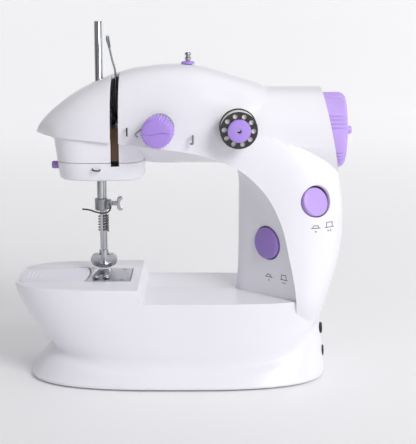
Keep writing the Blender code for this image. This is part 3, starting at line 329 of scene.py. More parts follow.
def cover_outline(margin, half=19.0):
    """Plan of the bobbin slide cover: round at the bed's end, bowed where it meets the needle plate."""
    half += margin
    bow = [-half + 2 * half * k / 24 for k in range(25)]
    outline = [(cover_bow(y) + margin, y) for y in bow]
    for k in range(37):
        y = half - 2 * half * k / 36
        share = (1 - (abs(y) / 40.3) ** 3.6) ** (1 / 3.6)
        outline.append((-6.75 - 94.65 * share - margin * 6, y))
    return outline


def plate_outline(margin):
    half = 17.5 + margin
    outline = [(-31.8 + margin, -half), (-31.8 + margin, half)]
    return outline + [(cover_bow(half - 2 * half * k / 24) + 0.3 - margin, half - 2 * half * k / 24)
                      for k in range(25)]


def joint_at(name):
    """A joint's point in millimetres and its axis."""
    return Vector(joints[name]["pos_m"]) / MM, Vector(joints[name]["axis"])


# ABS, injection moulded in a polished tool: a soft sharp gloss with a faint orange peel and rounded edges.
def sheen(code):
    """sRGB hex to linear colour."""
    channels = [int(code[i:i + 2], 16) / 255 for i in (1, 3, 5)]
    return [c / 12.92 if c <= 0.04045 else ((c + 0.055) / 1.055) ** 2.4 for c in channels] + [1.0]


def add(tree, kind, settings=None, feeds=None):
    """One shader node: lower-case settings are its properties, the rest its sockets."""
    node = tree.nodes.new(kind)
    for key, value in (settings or {}).items():
        if key[0].islower():
            setattr(node, key, value)
        else:
            node.inputs[key].default_value = value
    for socket, source in (feeds or {}).items():
        tree.links.new(source, node.inputs[socket])
    return node


def moulded_plastic(name, shade, deep, rough, grain=0.45, peel=0.05, edge=0.35, ior=1.53):
    """Moulded plastic: grain and edge radius in millimetres, peel is the depth of its surface."""
    finish = bpy.data.materials.new(name)
    finish.use_nodes = True
    tree = finish.node_tree
    tree.nodes.clear()
    place = add(tree, "ShaderNodeTexCoord").outputs["Object"]
    flow = add(tree, "ShaderNodeTexNoise", {"Scale": 1 / 0.035, "Detail": 3.0, "Roughness": 0.6},
               {"Vector": place}).outputs["Fac"]
    peel_noise = add(tree, "ShaderNodeTexNoise", {"Scale": 1000 / (grain * 4), "Detail": 2.0},
                     {"Vector": place}).outputs["Fac"]
    wipe = add(tree, "ShaderNodeTexNoise", {"Scale": 1 / 0.02, "Detail": 2.0},
               {"Vector": place}).outputs["Fac"]
    tint = add(tree, "ShaderNodeMix", {"data_type": "RGBA"}, {"Factor": flow})
    tint.inputs[6].default_value = sheen(shade)
    tint.inputs[7].default_value = sheen(deep)
    gloss = add(tree, "ShaderNodeMapRange", {"From Min": 0.3, "From Max": 0.7, "To Min": rough - 0.02,
                                             "To Max": rough + 0.03}, {"Value": wipe}).outputs["Result"]
    rounding = add(tree, "ShaderNodeBevel", {"samples": 6, "Radius": edge * MM}).outputs["Normal"]
    bump = add(tree, "ShaderNodeBump", {"Strength": 0.25, "Distance": peel * MM},
               {"Height": peel_noise, "Normal": rounding}).outputs["Normal"]
    shader = add(tree, "ShaderNodeBsdfPrincipled", {"IOR": ior},
                 {"Base Color": tint.outputs[2], "Roughness": gloss, "Normal": bump})
    add(tree, "ShaderNodeOutputMaterial", {}, {"Surface": shader.outputs["BSDF"]})
    return finish


# Metals: turned, drawn or plated. brushed is the spacing of the tool marks drawn out along Z, and depth
# their depth, both in millimetres.
def metal(name, shade, deep, rough, brushed=0.25, depth=0.004):
    finish = bpy.data.materials.new(name)
    finish.use_nodes = True
    tree = finish.node_tree
    shader = tree.nodes["Principled BSDF"]
    shader.inputs["Metallic"].default_value = 1.0
    place = add(tree, "ShaderNodeTexCoord").outputs["Object"]
    drawn = add(tree, "ShaderNodeMapping", {"Scale": (1000 / brushed, 1000 / brushed, 60.0)},
                {"Vector": place}).outputs["Vector"]
    lines = add(tree, "ShaderNodeTexNoise", {"Scale": 1.0, "Detail": 2.0}, {"Vector": drawn}).outputs["Fac"]
    haze = add(tree, "ShaderNodeTexNoise", {"Scale": 1 / 0.004, "Detail": 4.0},
               {"Vector": place}).outputs["Fac"]
    tint = add(tree, "ShaderNodeMix", {"data_type": "RGBA"}, {"Factor": haze})
    tint.inputs[6].default_value = sheen(shade)
    tint.inputs[7].default_value = sheen(deep)
    gloss = add(tree, "ShaderNodeMapRange", {"From Min": 0.3, "From Max": 0.7,
                                             "To Min": max(rough - 0.05, 0.02), "To Max": rough + 0.08},
                {"Value": haze}).outputs["Result"]
    rounding = add(tree, "ShaderNodeBevel", {"samples": 4, "Radius": 0.00015}).outputs["Normal"]
    bump = add(tree, "ShaderNodeBump", {"Strength": 0.3, "Distance": depth * MM},
               {"Height": lines, "Normal": rounding}).outputs["Normal"]
    for socket, source in (("Base Color", tint.outputs[2]), ("Roughness", gloss), ("Normal", bump)):
        tree.links.new(source, shader.inputs[socket])
    return finish


zinc_steel = metal("zinc_plated_steel", "#b9bbbd", "#9a9c9f", 0.3)
white_abs = moulded_plastic("white_gloss_abs", "#f4f3f8", "#efedf4", 0.3)


def shell_outside():
    outside = raw_piece("outside", *arm_skin(0.0))
    hull = raw_piece("hull", *hull_skin())
    above_deck = [(BED_RIGHT_X, 70), (BED_RIGHT_X, BED_Z), (BED_RIGHT_X + 3.0, DECK_Z),
                  (120, DECK_Z), (120, 70)]
    carve(hull, raw_piece("above_deck", *slab(above_deck, -60, 60, "y")))
    carve(outside, raw_piece("round_housing", *shroud(26.3, 38.0, 0.0)), "UNION")
    carve(outside, raw_piece("head", *head_block(0.0, 134.0, 150.0)), "UNION")
    return carve(outside, hull, "UNION")


def axis_hole(radius, joint, low, high, outward):
    at, axis = joint_at(joint)
    return lathe([(radius, low), (radius, high)], at, axis * outward)


outside = shell_outside()
bed_hollow = [superellipse(2 * math.pi * i / 40, -91.0, -30.0, 33.0, 4.0) for i in range(40)]
through_both = [
    arm_skin(WALL), shroud(24.0, 54.0, 4.0), head_block(WALL, 130.0, 149.0), hull_hollow(),
    slab(bed_hollow, 48.7, 57.0), lathe([(2.75, 160), (2.75, 200)], (-50, 0, 0), (0, 0, 1)),
    lathe([(2.6, 180), (2.6, 200)], (3.6, 0, 0), (0, 0, 1)), block((-92, -61.5), (-15, 15), (50, 70)),
    slab(cover_outline(0.3), 58.7, 66), slab(plate_outline(0.3), 58.7, 66),
    block((-56.5, -35), (-13, 13), (50, 70)), head_block(-0.3, 118.0, 134.0),
    lathe([(3.7, -8), (3.7, 8)], (88, -9, 29), (1, 0, 0)),
    lathe([(3.7, -8), (3.7, 8)], (88, -9, 14.5), (1, 0, 0)),
]
front_only = [
    block((-41.95, -37.05), (-40, -3.6), (131, 192)), axis_hole(2.3, "tension_hinge", -10, 10, 1),
    axis_hole(2.3, "front_bobbin_hinge", -10, 10, 1), axis_hole(9.4, "power_button_slide", -7, 12, -1),
    axis_hole(10.4, "speed_button_slide", -6, 9, -1),
]
shells = {}
rear_only = [lathe([(2.8, 15), (2.8, 35)], (-49.5, 0, 141), (0, 1, 0))]
for half, near, far, own_cuts in (("front", -70.0, -SPLIT, front_only), ("rear", SPLIT, 70.0, rear_only)):
    shell = raw_piece(half + "_shell", *block((-130, 130), (near, far), (-10, 230)))
    copy = outside.copy()
    copy.data = outside.data.copy()
    bpy.context.collection.objects.link(copy)
    carve(shell, copy, "INTERSECT")
    for cut in through_both + own_cuts:
        carve(shell, raw_piece("cut", *cut))
    shells[half] = shell
bpy.data.objects.remove(outside)


def cross_screw(name, at, axis, body, radius=2.6):
    """Pan-head screw with a cross recess, seated flush."""
    head = rounded([(radius, -0.9), (radius, 0.0), (radius * 0.6, 0.45), (0.2, 0.55)], 0.3)
    screw = raw_piece(name, *lathe(head, at, axis, 40))
    turn = Vector((0, 0, 1)).rotation_difference(Vector(axis).normalized()).to_matrix()
    for wide, deep in ((radius * 0.62, 0.32), (0.32, radius * 0.62)):
        verts, faces = block((-wide, wide), (-deep, deep), (-0.35, 2.0))
        carve(screw, raw_piece("cross", [Vector(at) + turn @ Vector(v) for v in verts], faces))
    return finish_piece(screw, zinc_steel, body)


# The two halves are pulled together by five screws from behind, in shallow round wells.
rear_skin = BVHTree.FromObject(shells["rear"], bpy.context.evaluated_depsgraph_get())
for i, (x, z) in enumerate(((-56, 163), (-8, 172), (46, 160), (76, 118), (74, 62))):
    spot, normal, _, _ = rear_skin.ray_cast(Vector((x, 90, z)) * MM, Vector((0, -1, 0)))
    carve(shells["rear"], raw_piece("well", *lathe([(3.3, -1.2), (3.3, 4.0)], spot / MM, normal)))
    cross_screw("rear_screw_%d" % i, spot / MM - normal * 1.1, normal, "machine")
for half, shell in shells.items():
    finish_piece(shell, white_abs, "machine", [half + "_housing"])


# ------------------------------------------------------------------ base plate, cell tray, door and feet
# A flat ABS plate closes the base from below. It carries the cell tray, the motor's cradle and the shaft
# posts, a door that swings down on its rear edge, six screws, and four rubber feet pushed into rings.
def dress(names, finish):
    """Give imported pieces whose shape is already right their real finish."""
    for name in names:
        mesh = nodes[name].data
        mesh.materials.clear()
        mesh.materials.append(finish)


def size_of(node):
    low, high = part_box(node)
    return low / MM, high / MM


def soften(piece, width, segments=3, angle=30):
    """Real rounded edges on a flat-sided piece."""
    edge = piece.modifiers.new("edge", "BEVEL")
    edge.width = width * MM
    edge.segments = segments
    edge.limit_method = "ANGLE"
    edge.angle_limit = math.radians(angle)
    return apply_modifiers(piece)


# Moulded rubber: dull, slightly dusty, with a fine grain from its mould.
def moulded_rubber(name, shade, deep):
    finish = bpy.data.materials.new(name)
    finish.use_nodes = True
    tree = finish.node_tree
    shader = tree.nodes["Principled BSDF"]
    place = add(tree, "ShaderNodeTexCoord").outputs["Object"]
    dust = add(tree, "ShaderNodeTexNoise", {"Scale": 1 / 0.006, "Detail": 4.0},
               {"Vector": place}).outputs["Fac"]
    grain = add(tree, "ShaderNodeTexNoise", {"Scale": 1 / 0.0006, "Detail": 2.0},
                {"Vector": place}).outputs["Fac"]
    tint = add(tree, "ShaderNodeMix", {"data_type": "RGBA"}, {"Factor": dust})
    tint.inputs[6].default_value = sheen(shade)
    tint.inputs[7].default_value = sheen(deep)
    matt = add(tree, "ShaderNodeMapRange", {"To Min": 0.62, "To Max": 0.85},
               {"Value": dust}).outputs["Result"]
    bump = add(tree, "ShaderNodeBump", {"Strength": 0.4, "Distance": 0.0001},
               {"Height": grain}).outputs["Normal"]
    for socket, source in (("Base Color", tint.outputs[2]), ("Roughness", matt), ("Normal", bump)):
        tree.links.new(source, shader.inputs[socket])
    shader.inputs["IOR"].default_value = 1.52
    return finish


foot_rubber = moulded_rubber("foot_rubber", "#2b2b2d", "#3a3a3c")
black_abs = moulded_plastic("black_abs", "#1b1b1d", "#232326", 0.38)
dress(["base_plate"], white_abs)
dress(["battery_box"], black_abs)
for name in ("foot_front_left", "foot_front_right", "foot_rear_left", "foot_rear_right"):
    low, high = size_of(name)
    middle = ((low.x + high.x) / 2, (low.y + high.y) / 2, 0)
    pad = rounded([(3.2, 0.5), (3.2, 0.0), (5.0, 0.0), (5.0, high.z), (0.3, high.z)], 0.35)
    foot = raw_piece(name + "_pad", *lathe(pad, middle, (0, 0, 1), 56))
    finish_piece(foot, foot_rubber, "machine", [name])

low, high = size_of("battery_door")
door = raw_piece("battery_door_panel", *block((low.x, high.x), (low.y, high.y), (low.z, high.z)))
soften(door, 0.3)
latch = block((-15, 1), (low.y - 1, low.y + 2.2), (low.z - 1, low.z + 0.9))
carve(door, raw_piece("latch_recess", *latch))
for k in range(5):
    rib = block((-14, 0), (low.y + 3.4 + 1.5 * k, low.y + 4.0 + 1.5 * k), (low.z - 1, low.z + 0.35))
    carve(door, raw_piece("grip_groove", *rib))
finish_piece(door, white_abs, "battery_door", ["battery_door"])


low, high = size_of("base_plate")
for i, (x, y) in enumerate(((-80, 0), (76, 0), (-44, -36), (44, -36), (-44, 36), (44, 36))):
    cross_screw("plate_screw_%d" % i, (x, y, low.z + 0.25), (0, 0, -1), "machine")


# ------------------------------------------------------------------ drive inside the base and arm
# A small motor turns the main shaft through a rubber belt; a toothed belt carries that down to the lower
# shaft, whose hook turns round the bobbin case. Steel shafts, nylon pulleys and bearings.
oiled_steel = metal("oiled_steel", "#8a8a8e", "#67676b", 0.24)
turned_steel = metal("turned_steel", "#a6a8ab", "#8d8f93", 0.28)
bright_chrome = metal("bright_chrome", "#c6c7cc", "#b2b3b8", 0.13, depth=0.001)
satin_chrome = metal("satin_chrome", "#dadae0", "#d0d0d6", 0.42, brushed=0.4, depth=0.001)
turned_brass = metal("turned_brass", "#cfae62", "#b8964c", 0.28)
natural_nylon = moulded_plastic("natural_nylon", "#e6e2d3", "#dad5c3", 0.42)
belt_rubber = moulded_rubber("neoprene_belt", "#171718", "#222224")
dress(["main_shaft", "crank_disc", "lower_shaft", "hook", "motor", "lower_bobbin", "needle_bar_yoke",
       "presser_collar", "feed_dog"], turned_steel)
dress(["bobbin_case", "bobbin_spindle"], bright_chrome)
dress(["shaft_pulley", "main_bearing_left", "main_bearing_right"], natural_nylon)
dress(["timing_belt", "drive_belt"], belt_rubber)
dress(["motor_pulley"], turned_brass)


# ------------------------------------------------------------------ slide cover and needle plate
# The bobbin is reached under a thin ABS cover that slides off the end of the bed by its raised grips.
# Beside it lies a stamped steel plate, satin chromed, slotted for the feed teeth and ruled for the seam.
cover_low, cover_high = size_of("slide_cover")
cover = raw_piece("slide_cover_panel", *slab(cover_outline(-0.35), cover_low.z, cover_high.z))
soften(cover, 0.25, 2, 50)
for k in range(4):
    x = -96.4 + 2.4 * k
    half = 7.4 + 0.7 * k
    ridge = block((x, x + 1.1), (-half, half), (cover_high.z - 0.4, cover_high.z + 0.3))
    carve(cover, soften(raw_piece("grip", *ridge), 0.3, 2), "UNION")
# The cover is white ABS. Its colour is painted a touch greyer and bluer than the housing's, as painted
# shade.
shaded_cover_abs = moulded_plastic("cover_gloss_abs", "#efedf6", "#ebe8f3", 0.33)
finish_piece(cover, shaded_cover_abs, "slide_cover", ["slide_cover"])

plate_low, plate_high = size_of("needle_plate")
plate = raw_piece("needle_plate_steel", *slab(plate_outline(-0.35), plate_low.z, plate_high.z))
soften(plate, 0.2, 2, 50)
carve(plate, raw_piece("needle_hole", *lathe([(1.1, 50), (1.1, 70)], (-50, 0, 0), (0, 0, 1), 32)))
for x in (-53.3, -46.7):
    carve(plate, raw_piece("feed_slot", *block((x - 1.2, x + 1.2), (-8.2, 8.2), (50, 70))))
for k in range(4):
    x = -42.0 + 2.6 * k
    carve(plate, raw_piece("seam_line", *block((x - 0.14, x + 0.14), (-9, 9), (plate_high.z - 0.15, 70))))
finish_piece(plate, satin_chrome, "machine", ["needle_plate"])
for i, (x, y) in enumerate(((-37.0, 13.6), (-37.0, -13.6))):
    cross_screw("needle_plate_screw_%d" % i, (x, y, plate_high.z - 0.3), (0, 0, 1), "machine", 1.9)


# ------------------------------------------------------------------ head cap, slot strip, lamp and switch
# The cap is a white ABS cup that closes the head from below. It holds a small lamp behind a clear lens, a
# wire eye for the thread and a push switch on its left side. A brown fibre strip backs the lever's slot.
cap_low, cap_high = size_of("head_cap")
rings = []
for level, inset in ((cap_low.z, 1.9), (cap_low.z + 0.2, 1.1), (cap_low.z + 0.7, 0.4),
                     (cap_low.z + 1.6, 0.0), (cap_high.z - 0.3, 0.0), (cap_high.z, 0.25)):
    rings.append(head_ring(level, inset, 128))
cap = raw_piece("head_cap_cup", *stack(rings))
lamp_at = (-66.0, 2.0, 0)
switch_at, switch_axis = joint_at("light_switch_slide")
for cut in (head_block(WALL, cap_low.z + WALL, 140.0),
            lathe([(2.75, 110), (2.75, 130)], (-50, 0, 0), (0, 0, 1)),
            lathe([(2.6, 110), (2.6, 130)], (-49.5, 9, 0), (0, 0, 1)),
            lathe([(2.6, 110), (2.6, 130)], lamp_at, (0, 0, 1)),
            lathe([(2.7, -6), (2.7, 8)], switch_at, switch_axis),
            block((-41.95, -37.05), (-40, -15), (131.8, 150))):
    carve(cap, raw_piece("cut", *cut))
finish_piece(cap, white_abs, "machine", ["head_cap"])

low, high = size_of("slot_plate")
fibre_board = moulded_plastic("vulcanised_fibre", "#7a5a3c", "#56412c", 0.5, grain=0.3, peel=0.12)
strip = soften(raw_piece("slot_strip", *block((low.x, high.x), (low.y, high.y), (low.z, high.z))), 0.15, 2)
finish_piece(strip, fibre_board, "machine", ["slot_plate"])

lens_acrylic = bpy.data.materials.new("clear_acrylic")
lens_acrylic.use_nodes = True
lens_tree = lens_acrylic.node_tree
lens_shader = lens_tree.nodes["Principled BSDF"]
lens_shader.inputs["Base Color"].default_value = sheen("#f3f1e6")
lens_shader.inputs["Transmission Weight"].default_value = 0.75
lens_shader.inputs["IOR"].default_value = 1.49
ripple = add(lens_tree, "ShaderNodeTexNoise", {"Scale": 1 / 0.0015},
             {"Vector": add(lens_tree, "ShaderNodeTexCoord").outputs["Object"]})
lens_rough = add(lens_tree, "ShaderNodeMapRange", {"To Min": 0.05, "To Max": 0.16},
                 {"Value": ripple.outputs["Fac"]})
lens_tree.links.new(lens_rough.outputs["Result"], lens_shader.inputs["Roughness"])
low, high = size_of("lamp")
bulb_turns = [a * math.pi / 16 for a in range(1, 8)]
dome = [(2.3, 0.0), (2.3, 4.6)]
dome += [(2.3 * math.cos(turn), 4.6 + 2.2 * math.sin(turn)) for turn in bulb_turns]
bulb = raw_piece("lamp_lens", *lathe(dome, (lamp_at[0], lamp_at[1], high.z), (0, 0, -1), 40))
finish_piece(bulb, lens_acrylic, "machine", ["lamp"])

# The knob's lavender plastic with its colour painted darker: painted shade for the light switch and the
# speed button, which sit in shade.
violet_abs = moulded_plastic("violet_abs", "#9f82cf", "#977ac7", 0.36)
button = rounded([(0.3, -0.7), (1.9, -0.6), (2.3, 0.0), (2.3, 6.5)], 0.3)
switch = raw_piece("light_switch_button", *lathe(button, switch_at, switch_axis, 40))
finish_piece(switch, violet_abs, "light_switch", ["light_switch"])


def wire(name, route, radius, finish, body, replaces=(), steps=8):
    """Bent wire with rounded ends through a few points."""
    sides = 14
    points = smooth_path(route, steps)
    up = None
    rings = []
    for i, point in enumerate(points):
        ahead = (points[min(i + 1, len(points) - 1)] - points[max(i - 1, 0)]).normalized()
        up = ahead.orthogonal().normalized() if up is None else (up - ahead * up.dot(ahead)).normalized()
        side = ahead.cross(up)
        rings.append((point, ahead, up, side, radius))
    first, last = rings[0], rings[-1]
    rings = [(first[0] - first[1] * radius * 0.5, *first[1:4], radius * 0.6)] + rings
    rings.append((last[0] + last[1] * radius * 0.5, *last[1:4], radius * 0.6))
    turns = [2 * math.pi * k / sides for k in range(sides)]
    skin = [[point + up * r * math.cos(turn) + side * r * math.sin(turn) for turn in turns]
            for point, _, up, side, r in rings]
    piece = raw_piece(name, *stack(skin))
    return finish_piece(piece, finish, body, replaces, 60)


dark_wire = metal("oiled_spring_wire", "#6d6c70", "#4a494d", 0.25)
eye = [(-52.6, -24.9, 130.6), (-52.3, -26.4, 130.2), (-50.9, -26.9, 129.9), (-49.6, -26.9, 129.9),
       (-48.5, -26.4, 129.9), (-48.2, -24.9, 130.1)]
wire("cap_thread_eye", eye, 0.5, dark_wire, "machine", ["head_guide"])


# ------------------------------------------------------------------ needle bar, clamp, screw and needle
# A chromed steel tube slides through the head. A sleeve at its foot clamps the needle's flat shank with a
# two-lobed thumb screw, and a bent wire under it leads the thread. The needle is nickel plated steel.
low, high = size_of("needle_bar")
bar_x = (low.x + high.x) / 2
bore_end = high.z - 60
bar = [(1.55, bore_end), (1.75, bore_end + 0.1), (1.75, high.z - 0.25), (2.0, high.z), (2.25, high.z),
       (2.45, high.z - 0.3), (2.45, low.z + 0.4), (2.1, low.z)]
bar_tube = raw_piece("needle_bar_tube", *lathe(bar, (bar_x, 0, 0), (0, 0, 1), 56))
finish_piece(bar_tube, bright_chrome, "needle_bar", ["needle_bar"])

low, high = size_of("needle_clamp")
sleeve = [(2.75, low.z), (2.75, high.z), (3.5, high.z), (3.9, high.z - 0.4),
          (3.9, low.z + 0.4), (3.5, low.z)]
clamp = raw_piece("needle_clamp_sleeve", *lathe(sleeve, (bar_x, 0, 0), (0, 0, 1), 56, bored=True))
boss = block((bar_x + 2.95, high.x), (-3.0, 3.0), (low.z + 0.8, high.z - 0.8))
carve(clamp, soften(raw_piece("boss", *boss), 0.9, 4), "UNION")
finish_piece(clamp, turned_steel, "needle_bar", ["needle_clamp"])

needle_low, needle_high = size_of("needle")
tip = needle_low.z
shank = [(0.05, tip), (0.3, tip + 1.6), (0.45, tip + 4.0), (0.45, tip + 12.5), (0.55, tip + 13.2),
         (0.95, tip + 15.5), (0.95, needle_high.z - 0.2), (0.75, needle_high.z)]
needle = raw_piece("needle_blade", *lathe(shank, (bar_x, 0, 0), (0, 0, 1), 24))
carve(needle, raw_piece("eye", *lathe([(0.2, -3), (0.2, 3)], (bar_x, 0, tip + 3.6), (0, 1, 0), 12)))
carve(needle, raw_piece("flat", *block((bar_x - 2, bar_x + 2), (0.6, 2), (tip + 16, needle_high.z + 1))))
finish_piece(needle, bright_chrome, "needle_bar", ["needle"])

loop = [(-44.6, -4.6, 106.2), (-43.9, -5.0, 103.4), (-45.6, -5.3, 101.0), (-49.0, -5.3, 100.4),
        (-52.7, -5.1, 101.0), (-57.0, -4.6, 102.3), (-61.1, -4.3, 102.7)]
wire("needle_thread_guide", loop, 0.5, dark_wire, "needle_bar", ["clamp_guide"])



def smooth_outline(points, steps):
    return [tuple(p)[:2] for p in smooth_path([(a, b, 0) for a, b in points], steps)]


screw_at, screw_axis = joint_at("clamp_screw_hinge")
stem = rounded([(0.2, 0.0), (1.4, 0.0), (1.4, 3.7)], 0.25)
thumb = raw_piece("thumb_screw", *lathe(stem, screw_at, screw_axis, 32))
wing = smooth_outline([(3.0, 0.0), (3.0, 1.9), (3.6, 3.8), (5.0, 4.5), (6.4, 4.1), (6.6, 2.9),
                       (5.7, 2.0), (5.0, 1.0), (4.8, 0.0)], 4)
lobes = [(screw_at.x + x, screw_at.z + z) for x, z in wing]
lobes += [(screw_at.x + x, screw_at.z - z) for x, z in wing[-2:0:-1]]
waist = raw_piece("lobes", *slab(lobes, -1.1, 1.1, "y"))
soften(waist, 0.35, 3, 50)
carve(thumb, waist, "UNION")
finish_piece(thumb, bright_chrome, "clamp_screw", ["clamp_screw"], 50)


# ------------------------------------------------------------------ presser bar, spring, foot and lifter
# A chromed bar behind the needle carries the foot and is pressed down by a coil of steel wire. The sole is
# a stamped plate with two upturned toes that rocks on a pin. A cranked lever behind the head lifts it all.
low, high = size_of("presser_bar")
rod_x, rod_y = (low.x + high.x) / 2, (low.y + high.y) / 2
rod = rounded([(0.3, low.z), (2.3, low.z), (2.3, high.z), (0.3, high.z)], 0.35)
presser_rod = raw_piece("presser_rod", *lathe(rod, (rod_x, rod_y, 0), (0, 0, 1), 48))
finish_piece(presser_rod, bright_chrome, "presser", ["presser_bar"])
spring_low, spring_high = size_of("presser_spring")
coil = []
for i in range(6 * 24 + 1):
    angle = 2 * math.pi * i / 24
    coil.append((rod_x + 3.1 * math.cos(angle), rod_y + 3.1 * math.sin(angle),
                 spring_low.z + 0.45 + (spring_high.z - spring_low.z - 0.9) * i / (6 * 24)))
wire("presser_coil", coil, 0.4, dark_wire, "presser", ["presser_spring"], steps=1)

low, high = size_of("foot_holder")
lobe = smooth_outline([(1.9, 73.4), (1.7, 71.8), (2.6, 71.7), (4.6, 72.4), (7.0, 71.4), (8.3, 68.4),
                       (7.2, 65.5), (4.8, 64.1), (2.2, 63.4), (0.0, 63.3)], 5)
cheeks = [(rod_x + x, z) for x, z in lobe] + [(rod_x - x, z) for x, z in lobe[-2::-1]]
holder = soften(raw_piece("foot_cheeks", *slab(cheeks, low.y, high.y, "y")), 1.1, 5, 40)
socket = rounded([(0.3, low.z + 2.0), (3.0, low.z + 2.0), (3.0, high.z), (2.0, high.z)], 0.4)
carve(holder, raw_piece("socket", *lathe(socket, (rod_x, rod_y, 0), (0, 0, 1), 48)), "UNION")
finish_piece(holder, bright_chrome, "presser", ["foot_holder"], 50)

low, high = size_of("presser_foot")
left_toe = [(low.x, high.y), (low.x, low.y + 2.0), (low.x + 0.6, low.y + 0.6), (low.x + 2.0, low.y),
            (-52.4, low.y), (-51.5, low.y + 0.8), (-51.3, low.y + 2.2), (-51.3, 2.0)]
mirror = [(-100.0 - x, y) for x, y in reversed(left_toe)]
sole = raw_piece("foot_sole", *slab(left_toe + mirror, low.z, high.z))
carve(sole, raw_piece("needle_gap", *lathe([(1.3, 50), (1.3, 70)], (-50, 1.2, 0), (0, 0, 1), 32)))
soften(sole, 0.3, 2, 50)
for vertex in sole.data.vertices:
    reach = max(0.0, (low.y + 5.0) - vertex.co.y / MM)
    vertex.co.z += 0.035 * reach ** 2 * MM
finish_piece(sole, bright_chrome, "foot", ["presser_foot"])

at, axis = joint_at("lifter_hinge")
pin = rounded([(0.3, 13.0), (2.4, 13.0), (2.4, 27.0), (0.3, 27.0)], 0.3)
lifter = raw_piece("lifter_lever", *lathe(pin, at, axis, 40))
finger = block((at.x - 8.5, at.x + 1.0), (13.4, 16.4), (at.z - 1.5, at.z + 1.5))
blade = [(-3.4, 3.0), (3.4, 3.0), (3.8, -4.0), (8.6, -21.0), (4.4, -23.0), (1.6, -21.4), (-3.0, -4.0)]
blade = [(at.x + x, at.z + z) for x, z in blade]
blade = smooth_outline(blade + blade[:1], 6)[:-1]
carve(lifter, soften(raw_piece("finger", *finger), 0.5, 3), "UNION")
carve(lifter, soften(raw_piece("lever", *slab(blade, 25.2, 27.6, "y")), 0.6, 3, 50), "UNION")
finish_piece(lifter, bright_chrome, "lifter", ["presser_lifter"], 50)


# ------------------------------------------------------------------ take-up lever
# A hub on the main shaft swings a bright steel wire out through the slot; its hooked eye pulls the thread
# tight after each stitch. The last part of the wire is doubled.
at, axis = joint_at("take_up_hinge")
wire_end = Vector((-43.6, -12.6, 207.8))
hub_ring = rounded([(3.3, -1.5), (5.6, -1.5), (6.0, -1.1), (6.0, 1.1), (5.6, 1.5), (3.3, 1.5)], 0.2)
hub = raw_piece("take_up_hub", *lathe(hub_ring, at, axis, 48, bored=True))
finish_piece(hub, turned_steel, "take_up", ["take_up_lever"])
route = [(at.x, -1.4, at.z + 5.6), (at.x, -5.0, 172.0), (at.x, -8.0, 186.0), (at.x - 1.6, -9.8, 193.5),
         (wire_end.x + 0.9, wire_end.y + 1.2, wire_end.z - 6.5),
         (wire_end.x - 0.2, wire_end.y, wire_end.z - 2.4), tuple(wire_end)]
wire("take_up_wire", route, 0.62, turned_steel, "take_up")
tip_start = Vector(route[4])
beside = Vector((0.15, 0.1, 0))
sleeve = [tuple(tip_start.lerp(wire_end, share) + beside) for share in (0.0, 0.35, 0.7, 0.95)]
wire("take_up_hook", sleeve, 0.85, oiled_steel, "take_up", steps=4)
eye_turns = [a * math.pi / 6 for a in range(11)]
eye_ring = [(wire_end.x, wire_end.y + 0.9 * math.sin(turn), wire_end.z - 1.5 + 1.2 * math.cos(turn))
            for turn in eye_turns]
wire("take_up_eye", eye_ring, 0.45, turned_steel, "take_up", steps=2)


# ------------------------------------------------------------------ thread tension on the panel
# Spring-loaded chromed discs squeeze the thread on a steel post; a ribbed lavender knob sets the load. A
# hair spring, a staple and a hook of dark wire beside it lead the thread.
lavender_abs = moulded_plastic("lavender_abs", "#b797ee", "#b18fe9", 0.33)
pale_lavender_abs = moulded_plastic("pale_lavender_abs", "#c6a9f0", "#c0a1ec", 0.33)
at, axis = joint_at("tension_hinge")
post = rounded([(0.3, -6.0), (1.8, -6.0), (1.8, 13.4), (0.3, 13.4)], 0.3)
stud = raw_piece("tension_stud", *lathe(post, at, axis, 32))
finish_piece(stud, turned_steel, "machine", ["tension_post"])
for name, low_end, high_end in (("tension_disc_rear", 0.9, 2.1), ("tension_disc_front", 2.4, 3.6)):
    dish = [(2.2, low_end), (6.5, low_end), (8.4, low_end + 0.25 if "front" in name else low_end),
            (8.4, high_end - 0.3), (6.5, high_end), (2.2, high_end)]
    disc = raw_piece(name, *lathe(dish, at, axis, 64, bored=True))
    finish_piece(disc, bright_chrome, "machine", ["tension_disc"] if "front" in name else [])
reach = 9.2
profile = [(2.2, 14.0), (2.2, 9.0), (6.4, 9.0), (6.4, 4.6), (reach - 0.5, 4.6), (reach - 0.1, 4.9),
           (reach, 5.4), (reach, 15.4), (reach - 0.25, 16.2), (reach - 0.8, 16.8), (reach - 1.6, 17.1),
           (3.0, 17.2), (0.3, 17.2)]


def rim_ribs(angle):
    """Depth of the hollows between the knob's thirty ribs."""
    return 0.75 * (0.5 - 0.5 * math.cos(30 * angle)) ** 0.8


knob = raw_piece("tension_dial", *lathe(profile, at, axis, 360, groove=rim_ribs))
turn = Vector((0, 0, 1)).rotation_difference(axis).to_matrix()
across = turn.inverted() @ Vector((1, 0, 0))
across = Vector((across.x, across.y, 0)).normalized()
upward = Vector((0, 0, 1)).cross(across)
mark = []
for side in (0.16, -0.16):
    line = [(-8.0 + 16.0 * k / 40, 0.75 * math.sin(-math.pi + 2 * math.pi * k / 40) + side)
            for k in range(41)]
    mark += line if side > 0 else line[::-1]
pointer = [[at + turn @ (across * x + upward * y + Vector((0, 0, level))) for x, y in mark]
           for level in (16.9, 18.5)]
carve(knob, raw_piece("pointer_line", *stack(pointer)))
finish_piece(knob, lavender_abs, "tension_knob", ["tension_knob"], 40)

hair = [(-22.2, -28.8, 155.2), (-22.4, -31.0, 155.4), (-25.2, -32.2, 153.6), (-26.7, -31.9, 151.8),
        (-25.4, -31.2, 150.6)]
wire("check_spring_wire", hair, 0.4, turned_steel, "machine", ["check_spring"])
staple = [(-31.7, -28.6, 155.2), (-31.7, -30.4, 155.2), (-31.7, -31.0, 153.2), (-31.7, -30.2, 151.0)]
wire("panel_staple", staple, 0.5, dark_wire, "machine", ["guide_pin"])
hook_route = [(6.8, -29.2, 150.6), (6.8, -31.8, 151.0), (6.8, -33.1, 148.8), (6.6, -32.0, 146.7),
              (5.6, -30.6, 146.4)]
wire("panel_hook_wire", hook_route, 0.65, turned_steel, "machine", ["panel_hook"])


